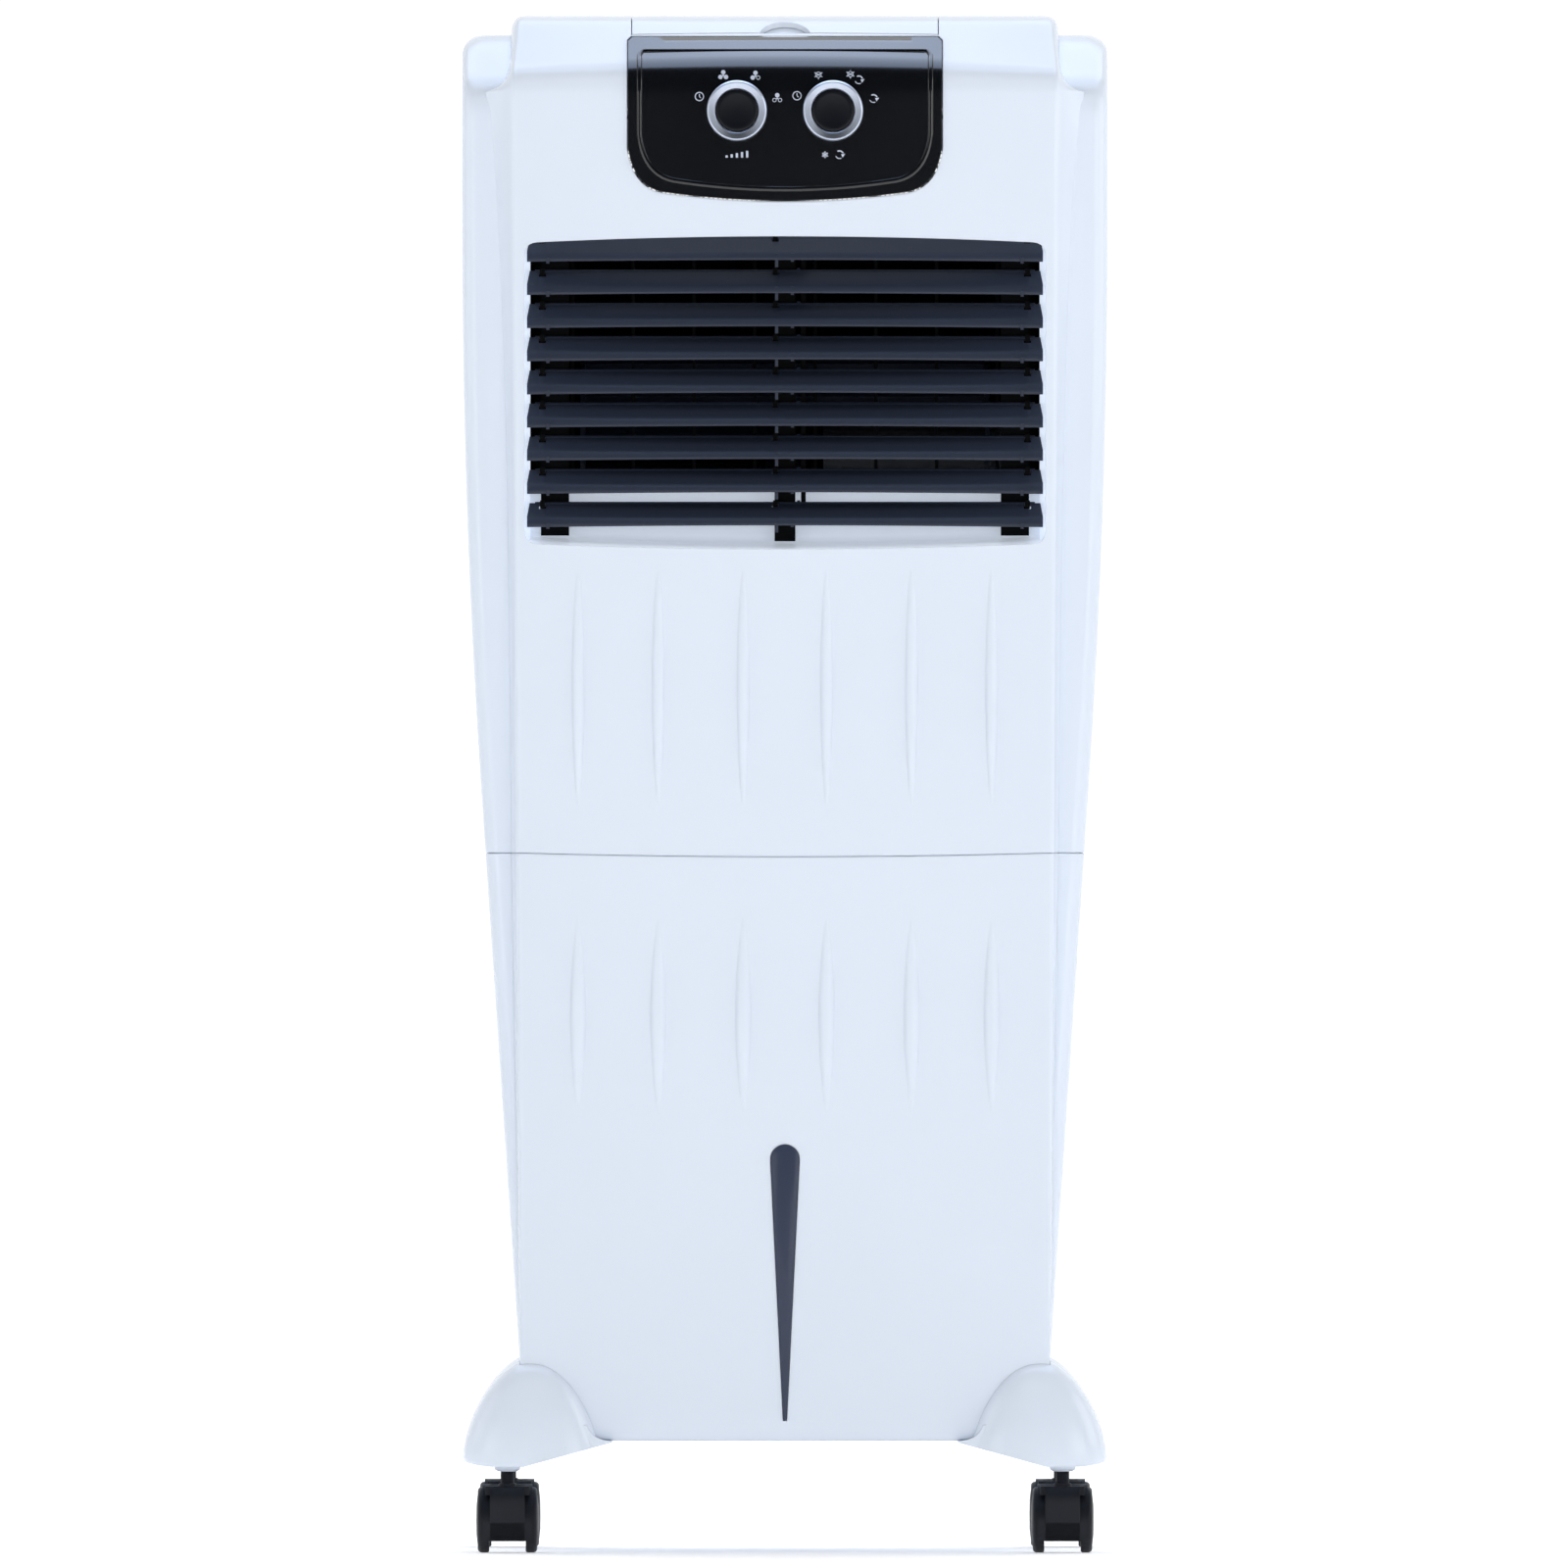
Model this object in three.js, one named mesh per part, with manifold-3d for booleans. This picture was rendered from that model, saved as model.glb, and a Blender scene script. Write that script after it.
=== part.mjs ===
// Tower evaporative cooler on four twin-wheel castors: a water tank below, a fan cabinet above.
// Millimetres, +Z up, front towards -Y, origin on the floor under the middle of the footprint.
import * as THREE from 'three';
import { mergeVertices } from 'three/addons/utils/BufferGeometryUtils.js';
import Module from 'manifold-3d';

const wasm = await Module();
wasm.setup();

// ---------- driving dimensions ----------
const HEIGHT = 960; // floor to the top of the roof
const SHOULDER_DROP = 12; // side shoulders below the raised middle band
const SEAM_Z = 437; // joint between tank and cabinet
const TANK_Z = 70; // underside of the tank
const WALL = 3; // moulding thickness
const GAP = 0.4; // clearance between neighbouring mouldings
const FRONT_Y = -183; // middle of the front face
const BACK_Y = 183; // rear face
const WING_Y = -163; // front of the side wings, behind the raised band
const BULGE = 6; // how far the front face curves back at its edges
const MAX_HALF_WIDTH = 201.5; // widest half width, near the top
const TAPER_Z = 829; // the sides draw in below this height
const TAPER_CURVE = 9.6e-5; // parabola of the taper, per mm
const TAPER_RUN = 350; // below this drop the taper is a straight line
const SLOPE = Math.tan(THREE.MathUtils.degToRad(30)); // pitch of the sloped top front
const CORNER_R = 26; // rounding between front face and slope
const BAND_CORNER_Z = 926; // where front face and slope would meet on the raised band
const WING_CORNER_Z = BAND_CORNER_Z - SHOULDER_DROP;
const SHOULDER_Z = HEIGHT - SHOULDER_DROP;
const WING_R = { front: 9, back: 24 }; // plan roundings of the wings
const WING_HEIGHTS = [899, 906, 914, 921.5, 940]; // levels that shape the wings' sloped top
const RIB_XS = [-129, -79, -26, 26, 79, 129];

const WINDOW = { half: 162.5, top: 822, topSag: 4.4, bottom: 626, bottomSag: 4.5, r: 8 };
const LOUVRE = { count: 9, y: -158.5, topZ: 820.3, pitch: 20.7, chord: 22.5, sweep: 5, tilt: 30, half: 161 };
const LOUVRE_ARCH = 1.6; // how much lower a blade's front lip lies at its ends than in its middle
const LOUVRE_PIN = { y: 9.1, z: -4.2, x: 11.5 }; // link pin seen from a blade's pivot
const POSTS = [
  { x: -143.6, half: 8.8, ear: -151.4 },
  { x: 0, half: 6.5, ear: -6 },
  { x: 143.6, half: 8.8, ear: 151.4 },
];
const POST_Y = [-152, -141]; // front and back of the louvre posts
const VANE = { count: 8, pitch: 37.9, y: -112, chord: 26, low: 636, high: 815 };
const VANE_PIN = 10; // link pins behind the vane pivots
const SWING = { x: 147, r: 13 }; // swing motor below the louvre frame

const CONSOLE = { half: 98, top: 946.5, bottom: 844, sag: 5.5, proud: 1.5 };
const KNOB = { x: 30, z: 900, r: 19, capR: 13.2, depth: 11 };
const LID = { half: 95.5, frontZ: 949.3, hingeY: 64, hingeZ: 956.5 };

const FAN = { y: -4, z: 672, r: 82, innerR: 66, half: 128, blades: 16 };
const SCROLL = { half: 140, r0: 90, r1: 134, wall: 2.5, mouthY: -97, inletR: 70 };
const PAD = { half: 148, front: 134, back: 164, low: 465.4, high: 878 };
const INTAKE = { half: 156, low: 470, high: 905 };
const PIPE = { r: 5, x: -168, pumpX: -104, pumpY: 96 };
const GLAND = { x: 128, z: 454, r: 5.5 };
const DRAIN = { x: -70, z: 92, r: 10 };

const FOOT = { x: 158, y: 150, a: 43.5, b: 46, low: 54, full: 57, rise: 65, power: 1.7, plan: 2.6, deep: 7 };
const CASTOR = { x: 173.3, y: 152, trail: 14, wheelR: 20.5, half: 19.5, webHalf: 10.8, stemR: 4.4 };
const HOOD = { inner: 20.9, outer: 22.3, half: 15.6, arc: [50, 216] }; // shell over the wheels

// ---------- finishes ----------
const finish = (color, roughness, metalness = 0) =>
  new THREE.MeshStandardMaterial({ color, roughness, metalness });
const WHITE = finish(0xe6ecf5, 0.28);
const BLACK_GLOSS = finish(0x15171c, 0.2);
const CHARCOAL = finish(0x2a303c, 0.45);
const BLACK = finish(0x14161b, 0.5);
const CHROME = finish(0xc9d0da, 0.25, 0.9);
const SMOKE = finish(0x474f61, 0.2);
const STEEL = finish(0x9a9ea4, 0.4, 0.8);
const PAPER = finish(0x8a6a3c, 0.9);
const NET = finish(0x23262c, 0.7);
const CLEAR_TUBE = finish(0xd5dbe0, 0.35);
const RUBBER = finish(0x1c1d20, 0.8);

// ---------- solids ----------
const X = new THREE.Vector3(1, 0, 0);
const Y = new THREE.Vector3(0, 1, 0);
const Z = new THREE.Vector3(0, 0, 1);

function solid(geometry) {
  const bare = geometry.index ? geometry.toNonIndexed() : geometry.clone();
  const positions = new THREE.BufferGeometry();
  positions.setAttribute('position', bare.getAttribute('position'));
  const merged = mergeVertices(positions, 1e-4);
  const made = new wasm.Manifold(
    new wasm.Mesh({
      numProp: 3,
      vertProperties: merged.attributes.position.array,
      triVerts: new Uint32Array(merged.index.array),
    }),
  );
  if (made.volume() < 0) throw new Error('a profile runs the wrong way round');
  return made;
}

function geometryOf(body) {
  const mesh = body.getMesh();
  const count = mesh.numVert;
  const positions = new Float32Array(count * 3);
  for (let i = 0; i < count; i++) {
    positions.set(mesh.vertProperties.subarray(i * mesh.numProp, i * mesh.numProp + 3), i * 3);
  }
  const geometry = new THREE.BufferGeometry();
  geometry.setAttribute('position', new THREE.BufferAttribute(positions, 3));
  geometry.setIndex(new THREE.BufferAttribute(mesh.triVerts, 1));
  geometry.computeVertexNormals();
  return geometry;
}

const union = (bodies) => bodies.reduce((whole, body) => whole.add(body));
const without = (body, cutters) => cutters.reduce((left, cutter) => left.subtract(cutter), body);

// A box from its lowest and highest corners.
function box(low, high) {
  const size = high.map((h, i) => h - low[i]);
  const geometry = new THREE.BoxGeometry(...size);
  return solid(geometry.translate(...low.map((l, i) => l + size[i] / 2)));
}

// A cylinder of radius r (r2 at its far end) between two coordinates along an axis.
function rod(r, from, to, axis, at, sides = 16, r2 = r) {
  const geometry = new THREE.CylinderGeometry(r2, r, to - from, sides);
  if (axis === X) geometry.rotateZ(-Math.PI / 2);
  if (axis === Z) geometry.rotateX(Math.PI / 2);
  const middle = axis.clone().multiplyScalar((from + to) / 2);
  return solid(geometry.translate(...middle.add(new THREE.Vector3(...at)).toArray()));
}

// Prisms of an outline: drawn in (x, y), (x, z) or (y, z) and drawn out along the third axis.
function prism(outline, from, to, axis) {
  const corners = (points) => points.map(([a, b]) => new THREE.Vector2(a, b));
  const shape = Array.isArray(outline) ? new THREE.Shape(corners(outline)) : outline;
  const options = { depth: to - from, bevelEnabled: false, curveSegments: 5 };
  const geometry = new THREE.ExtrudeGeometry(shape, options);
  if (axis === Z) geometry.translate(0, 0, from);
  if (axis === Y) geometry.rotateX(Math.PI / 2).translate(0, to, 0);
  if (axis === X) {
    geometry.applyMatrix4(new THREE.Matrix4().makeBasis(Y, Z, X)).translate(from, 0, 0);
  }
  return solid(geometry);
}

// A closed body through rings of equally many points, stacked along x (axis 0) or z (axis 2).
function loft(rings, axis) {
  const flat = (ring) => ring.map((p) => new THREE.Vector2(p[axis === 0 ? 1 : 0], p[axis === 0 ? 2 : 1]));
  const rising = rings[rings.length - 1][0][axis] > rings[0][0][axis];
  const stacked = rising ? rings : [...rings].reverse();
  const leftward = THREE.ShapeUtils.area(flat(stacked[0])) > 0;
  const ordered = leftward ? stacked : stacked.map((ring) => [...ring].reverse());
  const size = ordered[0].length;
  const index = [];
  for (let ring = 0; ring < ordered.length - 1; ring++) {
    for (let i = 0; i < size; i++) {
      const a = ring * size + i;
      const b = ring * size + ((i + 1) % size);
      index.push(a, b, b + size, a, b + size, a + size);
    }
  }
  const cap = (ring) => THREE.ShapeUtils.triangulateShape(flat(ring), []);
  const last = (ordered.length - 1) * size;
  cap(ordered[0]).forEach(([a, b, c]) => index.push(c, b, a));
  cap(ordered[ordered.length - 1]).forEach(([a, b, c]) => index.push(last + a, last + b, last + c));
  const geometry = new THREE.BufferGeometry();
  geometry.setAttribute('position', new THREE.Float32BufferAttribute(ordered.flat(2), 3));
  geometry.setIndex(index);
  return solid(geometry);
}
const loftUp = (rings) => loft(rings, 2);
const loftAcross = (rings) => loft(rings, 0);

// The same body turned about the x axis through the origin.
const pitched = (body, degrees) => solid(geometryOf(body).rotateX(THREE.MathUtils.degToRad(degrees)));

// A pair of mirrored coordinates in rising order.
const span = (sign, a, b) => [sign * a, sign * b].sort((p, q) => p - q);

const scene = new THREE.Group();
function add(name, body, material, parent = scene, position = [0, 0, 0]) {
  const mesh = new THREE.Mesh(geometryOf(body), material);
  mesh.name = name;
  mesh.position.set(...position);
  parent.add(mesh);
  return mesh;
}

// ---------- body surfaces ----------
function halfWidth(z) {
  const drop = Math.max(0, TAPER_Z - z);
  const curved = Math.min(drop, TAPER_RUN);
  const straight = drop - curved;
  return MAX_HALF_WIDTH - TAPER_CURVE * curved ** 2 - 2 * TAPER_CURVE * TAPER_RUN * straight;
}
const bandHalf = (z) => 170 - 0.0055 * (HEIGHT - z); // raised middle band

// Where the front of a vertical face with a sloped, rounded top lies at height z.
function frontAt(z, face, cornerZ) {
  const tangent = CORNER_R * Math.tan(Math.PI / 6);
  const start = cornerZ - tangent;
  if (z <= start) return face;
  if (z <= cornerZ + tangent * Math.sin(Math.PI / 6)) {
    return face + CORNER_R - Math.sqrt(CORNER_R ** 2 - (z - start) ** 2);
  }
  return face + (z - cornerZ) / SLOPE;
}

// A rounded rectangle in plan, from the front right corner round to the front left.
function planRing(z, half, front, back, frontR, backR) {
  const corners = [
    [half - frontR, front + frontR, frontR, -90],
    [half - backR, back - backR, backR, 0],
    [-half + backR, back - backR, backR, 90],
    [-half + frontR, front + frontR, frontR, 180],
  ];
  const steps = 3;
  return corners.flatMap(([cx, cy, r, start]) =>
    Array.from({ length: steps + 1 }, (_, i) => {
      const angle = THREE.MathUtils.degToRad(start + (90 * i) / steps);
      return [cx + r * Math.cos(angle), cy + r * Math.sin(angle), z];
    }),
  );
}
function wingRing(z, inset, edge = 0) {
  const front = frontAt(z, WING_Y, WING_CORNER_Z);
  const off = inset + edge;
  const [frontR, backR] = [WING_R.front - inset, WING_R.back - inset];
  return planRing(z, halfWidth(z) - off, front + off, BACK_Y - off, frontR, backR);
}
const wingBody = (heights, inset) => loftUp(heights.map((z) => wingRing(z, inset)));

// ---------- side profile of the raised band: front face, slope, crest, roof and rear edge ----------
function bandProfile() {
  const points = [[FRONT_Y, SEAM_Z + GAP]];
  for (const z of [911, 918, 924, 929, 933.5]) points.push([frontAt(z, FRONT_Y, BAND_CORNER_Z), z]);
  points.push([-133.3, 954.6], [-125, 958.3], [-113.3, HEIGHT]);
  points.push([168, HEIGHT], [175, 957.5], [178, 951], [178, SHOULDER_Z + GAP]);
  return points;
}
// The same path moved inwards by a distance.
function inward(path, distance) {
  return path.map((p, i) => {
    const before = path[Math.max(0, i - 1)];
    const after = path[Math.min(path.length - 1, i + 1)];
    const [dy, dz] = [after[0] - before[0], after[1] - before[1]];
    const length = Math.hypot(dy, dz);
    return [p[0] + (dz / length) * distance, p[1] - (dy / length) * distance];
  });
}
// Curving of the front face in plan, fading out over the slope.
function bulgeAt(u, z) {
  const share = THREE.MathUtils.clamp((HEIGHT - z) / (HEIGHT - 933.5), 0, 1);
  return BULGE * u * u * share;
}
// A curved sheet that follows the band's profile, between two offsets from its outer surface.
function bandSheet(profile, us, outer, inner) {
  const outerPath = inward(profile, outer);
  const innerPath = inward(profile, inner).reverse();
  return loftAcross(
    us.map((u) =>
      [...outerPath, ...innerPath].map(([y, z]) => [u * bandHalf(z), y + bulgeAt(u, z), z]),
    ),
  );
}
// Slanted returns that flare from the band's edges down to the wings, widest near the top.
function returnWidth(z) {
  const flare = 4 + 13.7 * Math.exp((z - 917) / 130);
  return Math.min(flare, Math.max(0, (SHOULDER_Z - z) * 0.55));
}
function bandReturns() {
  const heights = [SEAM_Z + GAP, 520, 600, 680, 760, TAPER_Z, ...WING_HEIGHTS];
  return [-1, 1].map((sign) =>
    loftUp(
      heights.map((z) => {
        const edgeY = frontAt(z, FRONT_Y, BAND_CORNER_Z) + bulgeAt(1, z) + 0.1;
        const footY = frontAt(z, WING_Y, WING_CORNER_Z) - GAP;
        const half = bandHalf(z);
        return [
          [sign * (half - 1.5), edgeY, z],
          [sign * half, edgeY, z],
          [sign * (half + returnWidth(z)), footY, z],
          [sign * (half - 1.5), footY, z],
        ];
      }),
    ),
  );
}
const spread = (from, to, steps) =>
  Array.from({ length: steps + 1 }, (_, i) => from + ((to - from) * i) / steps);

// Outline of the grille window: gently barrelled above and below.
function windowOutline(grow = 0) {
  const { half, top, topSag, bottom, bottomSag } = WINDOW;
  const r = WINDOW.r + grow;
  const side = half + grow;
  const shape = new THREE.Shape();
  const topSide = top - topSag + grow;
  const bottomSide = bottom + bottomSag - grow;
  shape.moveTo(-side, bottomSide + r);
  shape.quadraticCurveTo(-side, bottomSide, -side + r, bottomSide - 0.7);
  shape.quadraticCurveTo(0, bottom - bottomSag + 2 - grow, side - r, bottomSide - 0.7);
  shape.quadraticCurveTo(side, bottomSide, side, bottomSide + r);
  shape.lineTo(side, topSide - r);
  shape.quadraticCurveTo(side, topSide, side - r, topSide + 0.4);
  shape.quadraticCurveTo(0, top + topSag - 1 + grow, -side + r, topSide + 0.4);
  shape.quadraticCurveTo(-side, topSide, -side, topSide - r);
  return shape;
}
const sillZ = (x) => WINDOW.bottom + WINDOW.bottomSag * (x / WINDOW.half) ** 2;

// Outline of the console, square above and curved below.
function consoleOutline(grow = 0) {
  const half = CONSOLE.half + grow;
  const top = CONSOLE.top + grow;
  const bottom = CONSOLE.bottom - grow;
  const cornerX = half - 21;
  const cornerZ = bottom + CONSOLE.sag;
  const shape = new THREE.Shape();
  shape.moveTo(-half, top);
  shape.lineTo(-half, cornerZ + 28);
  shape.bezierCurveTo(-half, cornerZ + 12, -cornerX - 10, cornerZ + 2, -cornerX, cornerZ);
  shape.quadraticCurveTo(0, bottom - CONSOLE.sag, cornerX, cornerZ);
  shape.bezierCurveTo(cornerX + 10, cornerZ + 2, half, cornerZ + 12, half, cornerZ + 28);
  shape.lineTo(half, top);
  return shape;
}

// ---------- housing ----------
function frontCover() {
  const profile = bandProfile();
  const skin = bandSheet(profile, spread(-1, 1, 8), 0, WALL);
  // Side walls of the band, from its surface down to the wings.
  const wingPath = [[WING_Y - GAP, SEAM_Z + GAP]];
  for (const z of WING_HEIGHTS.slice(0, 4)) wingPath.push([frontAt(z, WING_Y, WING_CORNER_Z) - GAP, z + GAP]);
  wingPath.push([-104, SHOULDER_Z + GAP], [178, SHOULDER_Z + GAP]);
  const edge = profile.map(([y, z]) => [y + bulgeAt(1, z), z]);
  const side = [...edge.slice(0, -1), ...wingPath.reverse()];
  const walls = [-1, 1].map((sign) => {
    const rings = [1, 1 - WALL / 170].map((share) =>
      side.map(([y, z]) => [sign * share * bandHalf(z), y, z]),
    );
    return loftAcross(rings);
  });
  // Duct behind the window: side cheeks, top wall, sill and the sloping deflector behind it.
  const cheeks = [-1, 1].map((sign) => {
    const [low, high] = span(sign, WINDOW.half, WINDOW.half + 2.2);
    return box([low, -176, 627], [high, -133, 829]);
  });
  const strips = [-1, 1].map((sign) => {
    const [low, high] = span(sign, 159, WINDOW.half + 1);
    return box([low, -156.5, 632], [high, -142, 828]);
  });
  const ceiling = box([-WINDOW.half - 1, -176, 827], [WINDOW.half + 1, -133, 829]);
  const sillXs = spread(-WINDOW.half - 1, WINDOW.half + 1, 6);
  const sill = loftAcross(
    sillXs.map((x) => {
      const z = sillZ(x);
      const line = [
        [-181, z - 0.6],
        [-141, z + 4.4],
        [-138.5, z + 9],
        [-132.5, 664],
      ];
      const under = [
        [-130.3, 664],
        [-136.3, z + 7.5],
        [-139, z + 2],
        [-181, z - 3],
      ];
      return [...line, ...under].map(([y, height]) => [x, y, height]);
    }),
  );
  const lip = LID.hingeY;
  const bosses = [-1, 1].map((sign) => {
    const [low, high] = span(sign, LID.half + 0.6, LID.half + 7);
    return box([low, lip - 5, 951], [high, lip + 5, 957.5]);
  });
  const lidHole = lidSheet(0.5, 0.6, lip + 5, -4, WALL + 4);
  const whole = union([skin, ...walls, ...bosses]);
  const cut = without(whole, [
    prism(windowOutline(), -200, -168, Y),
    prism(consoleOutline(0.5), -200, -135, Y),
    lidHole,
    rod(2.2, -LID.half - 4, LID.half + 4, X, [0, LID.hingeY, LID.hingeZ], 10),
  ]);
  return union([cut, ...cheeks, ...strips, ceiling, sill, ...bandReturns()]);
}

function cabinet() {
  const heights = [SEAM_Z + GAP, 520, 600, 680, 760, TAPER_Z, ...WING_HEIGHTS];
  const rings = heights.map((z) => wingRing(z, 0));
  rings.push(wingRing(945, 0, 1.8), wingRing(SHOULDER_Z, 0, 7));
  const innerHeights = [SEAM_Z - 5, 520, 600, 680, 760, TAPER_Z, 899, 914, 921.5, 938];
  const innerRings = innerHeights.map((z) => wingRing(z, WALL));
  innerRings.push(wingRing(SHOULDER_Z - WALL, WALL, 5));
  const shell = loftUp(rings).subtract(loftUp(innerRings));
  const opened = without(shell, [
    box([-166, -200, 455], [166, -140, 922]), // behind the front cover
    box([-94, -118, 930], [94, LID.hingeY + 10, 960]), // ice tray
    box([-INTAKE.half, 170, INTAKE.low], [INTAKE.half, 200, INTAKE.high]), // air intake
    rod(GLAND.r + 0.4, 170, 200, Y, [GLAND.x, 0, GLAND.z], 12),
  ]);
  // Shelf that carries the pad, with drip slots.
  const shelf = without(
    box([-152, 122, 461], [152, 181, 465]),
    spread(-120, 120, 6).map((x) => box([x - 14, 130, 455], [x + 14, 160, 470])),
  );
  const brackets = [-1, 1].map((sign) => {
    const [low, high] = span(sign, 149.5, 152.5);
    return box([low, 122, 461], [high, 165, 476]);
  });
  return union([opened, shelf, ...brackets]);
}

const bandRing = (z, inset, edge = 0) => {
  const half = bandHalf(z) - inset;
  const us = spread(1, -1, 6);
  const front = us.map((u) => [u * (half - edge), FRONT_Y + inset + edge + BULGE * u * u, z]);
  return [...front, [-half + edge, -150, z], [half - edge, -150, z]].reverse();
};
function tankEnvelope(grow = 0) {
  const heights = [TANK_Z + 5, 119, 200, 300, SEAM_Z - GAP];
  const wings = loftUp([wingRing(TANK_Z - grow, -grow, 4), ...heights.map((z) => wingRing(z, -grow))]);
  const band = loftUp([bandRing(TANK_Z - grow, -grow, 4), ...heights.map((z) => bandRing(z, -grow))]);
  return wings.add(band);
}
function levelOutline(grow = 0) {
  const shape = new THREE.Shape();
  const r = 8.9 + grow;
  shape.moveTo(-1 - grow, 83 - grow);
  shape.lineTo(-r, 244);
  shape.absarc(0, 246, r, Math.PI, 0, true);
  shape.lineTo(r, 244);
  shape.lineTo(1 + grow, 83 - grow);
  return shape;
}
function waterTank() {
  const innerHeights = [TANK_Z + WALL, 119, 200, 300, SEAM_Z + 5];
  const hollow = wingBody(innerHeights, WALL).add(loftUp(innerHeights.map((z) => bandRing(z, WALL))));
  const ring = (low, high, outer, inner) =>
    loftUp([low, high].map((z) => wingRing(z, outer))).subtract(
      loftUp([low - 1, high + 1].map((z) => wingRing(z, inner))),
    );
  const walls = tankEnvelope().subtract(hollow);
  return without(union([walls, ring(428, SEAM_Z - 1, 2.5, 6), ring(SEAM_Z - 2, 447, WALL + GAP, 6)]), [
    prism(levelOutline(0.3), -200, -170, Y),
    rod(DRAIN.r, 170, 200, Y, [DRAIN.x, 0, DRAIN.z], 20),
  ]);
}

// One corner foot: a bell that hugs the tank's corner and carries the castor socket.
function foot(signX, signY) {
  const steps = 24;
  // Superellipse in plan whose front and back stay upright while its sides draw in.
  const bend = (v, power) => Math.sign(v) * Math.abs(v) ** (2 / power);
  const ring = (z, share) =>
    spread(0, 2 * Math.PI, steps)
      .slice(0, -1)
      .map((angle) => {
        const x = FOOT.x * signX + FOOT.a * share * bend(Math.cos(angle), FOOT.plan);
        const depth = FOOT.b * share ** (FOOT.plan / FOOT.deep);
        return [x, FOOT.y * signY + depth * bend(Math.sin(angle), FOOT.deep), z];
      });
  const shareAt = (z) => (1 - ((z - FOOT.full) / FOOT.rise) ** FOOT.power) ** (1 / FOOT.power);
  const levels = [FOOT.full, 68, 82, 97, 110, 119];
  const bell = loftUp([ring(FOOT.low, 0.95), ...levels.map((z) => ring(z, shareAt(z)))]);
  const hollow = loftUp([ring(FOOT.low - 1, 0.9), ...[60, 66].map((z) => ring(z, shareAt(z) - 0.08))]);
  const socketAt = [CASTOR.x * signX, CASTOR.y * signY, 0];
  const boss = rod(8, 50.8, 84, Z, socketAt, 16);
  // The underside rises towards the middle of the cooler.
  const underside = [
    [163 * signX, FOOT.low],
    [100 * signX, 71.5],
    [100 * signX, 40],
    [163 * signX, 40],
  ];
  return without(bell, [hollow, prism(underside, -300, 300, Y)])
    .add(boss)
    .subtract(union([tankEnvelope(GAP), rod(CASTOR.stemR + 0.5, 40, 80, Z, socketAt, 16)]));
}

// ---------- raised ribs on the front ----------
function rib(x, low, high, halfWide, fullness) {
  const rise = 1.6;
  return loftUp(
    spread(0, 1, 6).map((t) => {
      const share = Math.max(0.08, Math.sin(Math.PI * t) ** fullness);
      const z = low + (high - low) * t;
      const y = FRONT_Y + BULGE * (x / bandHalf(z)) ** 2;
      const w = halfWide * share;
      return [
        [x - w, y + 0.8, z],
        [x - w * 0.4, y - rise * share, z],
        [x + w * 0.4, y - rise * share, z],
        [x + w, y + 0.8, z],
      ];
    }),
  );
}

// ---------- console ----------
// The part of the band's side profile that lies above a height on the front and slope.
function slopeProfile(lowZ) {
  const heights = [lowZ, 911, 918, 924, 929, 933.5, 952];
  return heights.map((z) => [frontAt(z, FRONT_Y, BAND_CORNER_Z), z]);
}
function controlPanel() {
  const plate = bandSheet(slopeProfile(838), spread(-0.62, 0.62, 6), -CONSOLE.proud, 3.5);
  const outline = prism(consoleOutline(), -200, -135, Y);
  const recess = outline.intersect(plate);
  const holes = [-1, 1].map((sign) => rod(3.6, -200, -160, Y, [sign * KNOB.x, 0, KNOB.z], 14));
  return without(recess, holes);
}
function rotarySwitch(x) {
  const body = box([x - 13, -178, KNOB.z - 15], [x + 13, -162, KNOB.z + 15]);
  return body.add(rod(3, -190, -170, Y, [x, 0, KNOB.z], 14));
}
const KNOB_BACK = FRONT_Y - CONSOLE.proud - 0.4;
function knobRing() {
  const { r, capR, depth } = KNOB;
  const front = KNOB_BACK - depth;
  // Half section: radius against distance along the knob's axis.
  const profile = [
    [3.4, KNOB_BACK],
    [r - 0.6, KNOB_BACK],
    [r, KNOB_BACK - 1],
    [r, front + 1.2],
    [r - 1.4, front],
    [capR + 1.2, front + 0.8],
    [capR + 0.4, front + 2],
    [capR + 0.4, KNOB_BACK - 3],
    [3.4, KNOB_BACK - 3],
  ];
  return turnedSolid(profile, 24);
}
function knobCap() {
  const { capR, depth } = KNOB;
  const front = KNOB_BACK - depth;
  const profile = [
    [0, KNOB_BACK - 6.4],
    [capR, KNOB_BACK - 6.4],
    [capR, front + 2.2],
    [capR - 1.4, front + 1.4],
    [capR - 4, front + 2.6],
    [0, front + 3.6],
  ];
  return turnedSolid(profile, 20);
}
// A body of revolution about the y axis from radius and y pairs.
function turnedSolid(profile, sides) {
  const closed = profile[0][0] === 0 ? profile : [...profile, profile[0]];
  const points = closed.map(([r, y]) => new THREE.Vector2(r, y));
  const upward = THREE.ShapeUtils.area(points) > 0;
  return solid(new THREE.LatheGeometry(upward ? points : points.reverse(), sides));
}

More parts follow.
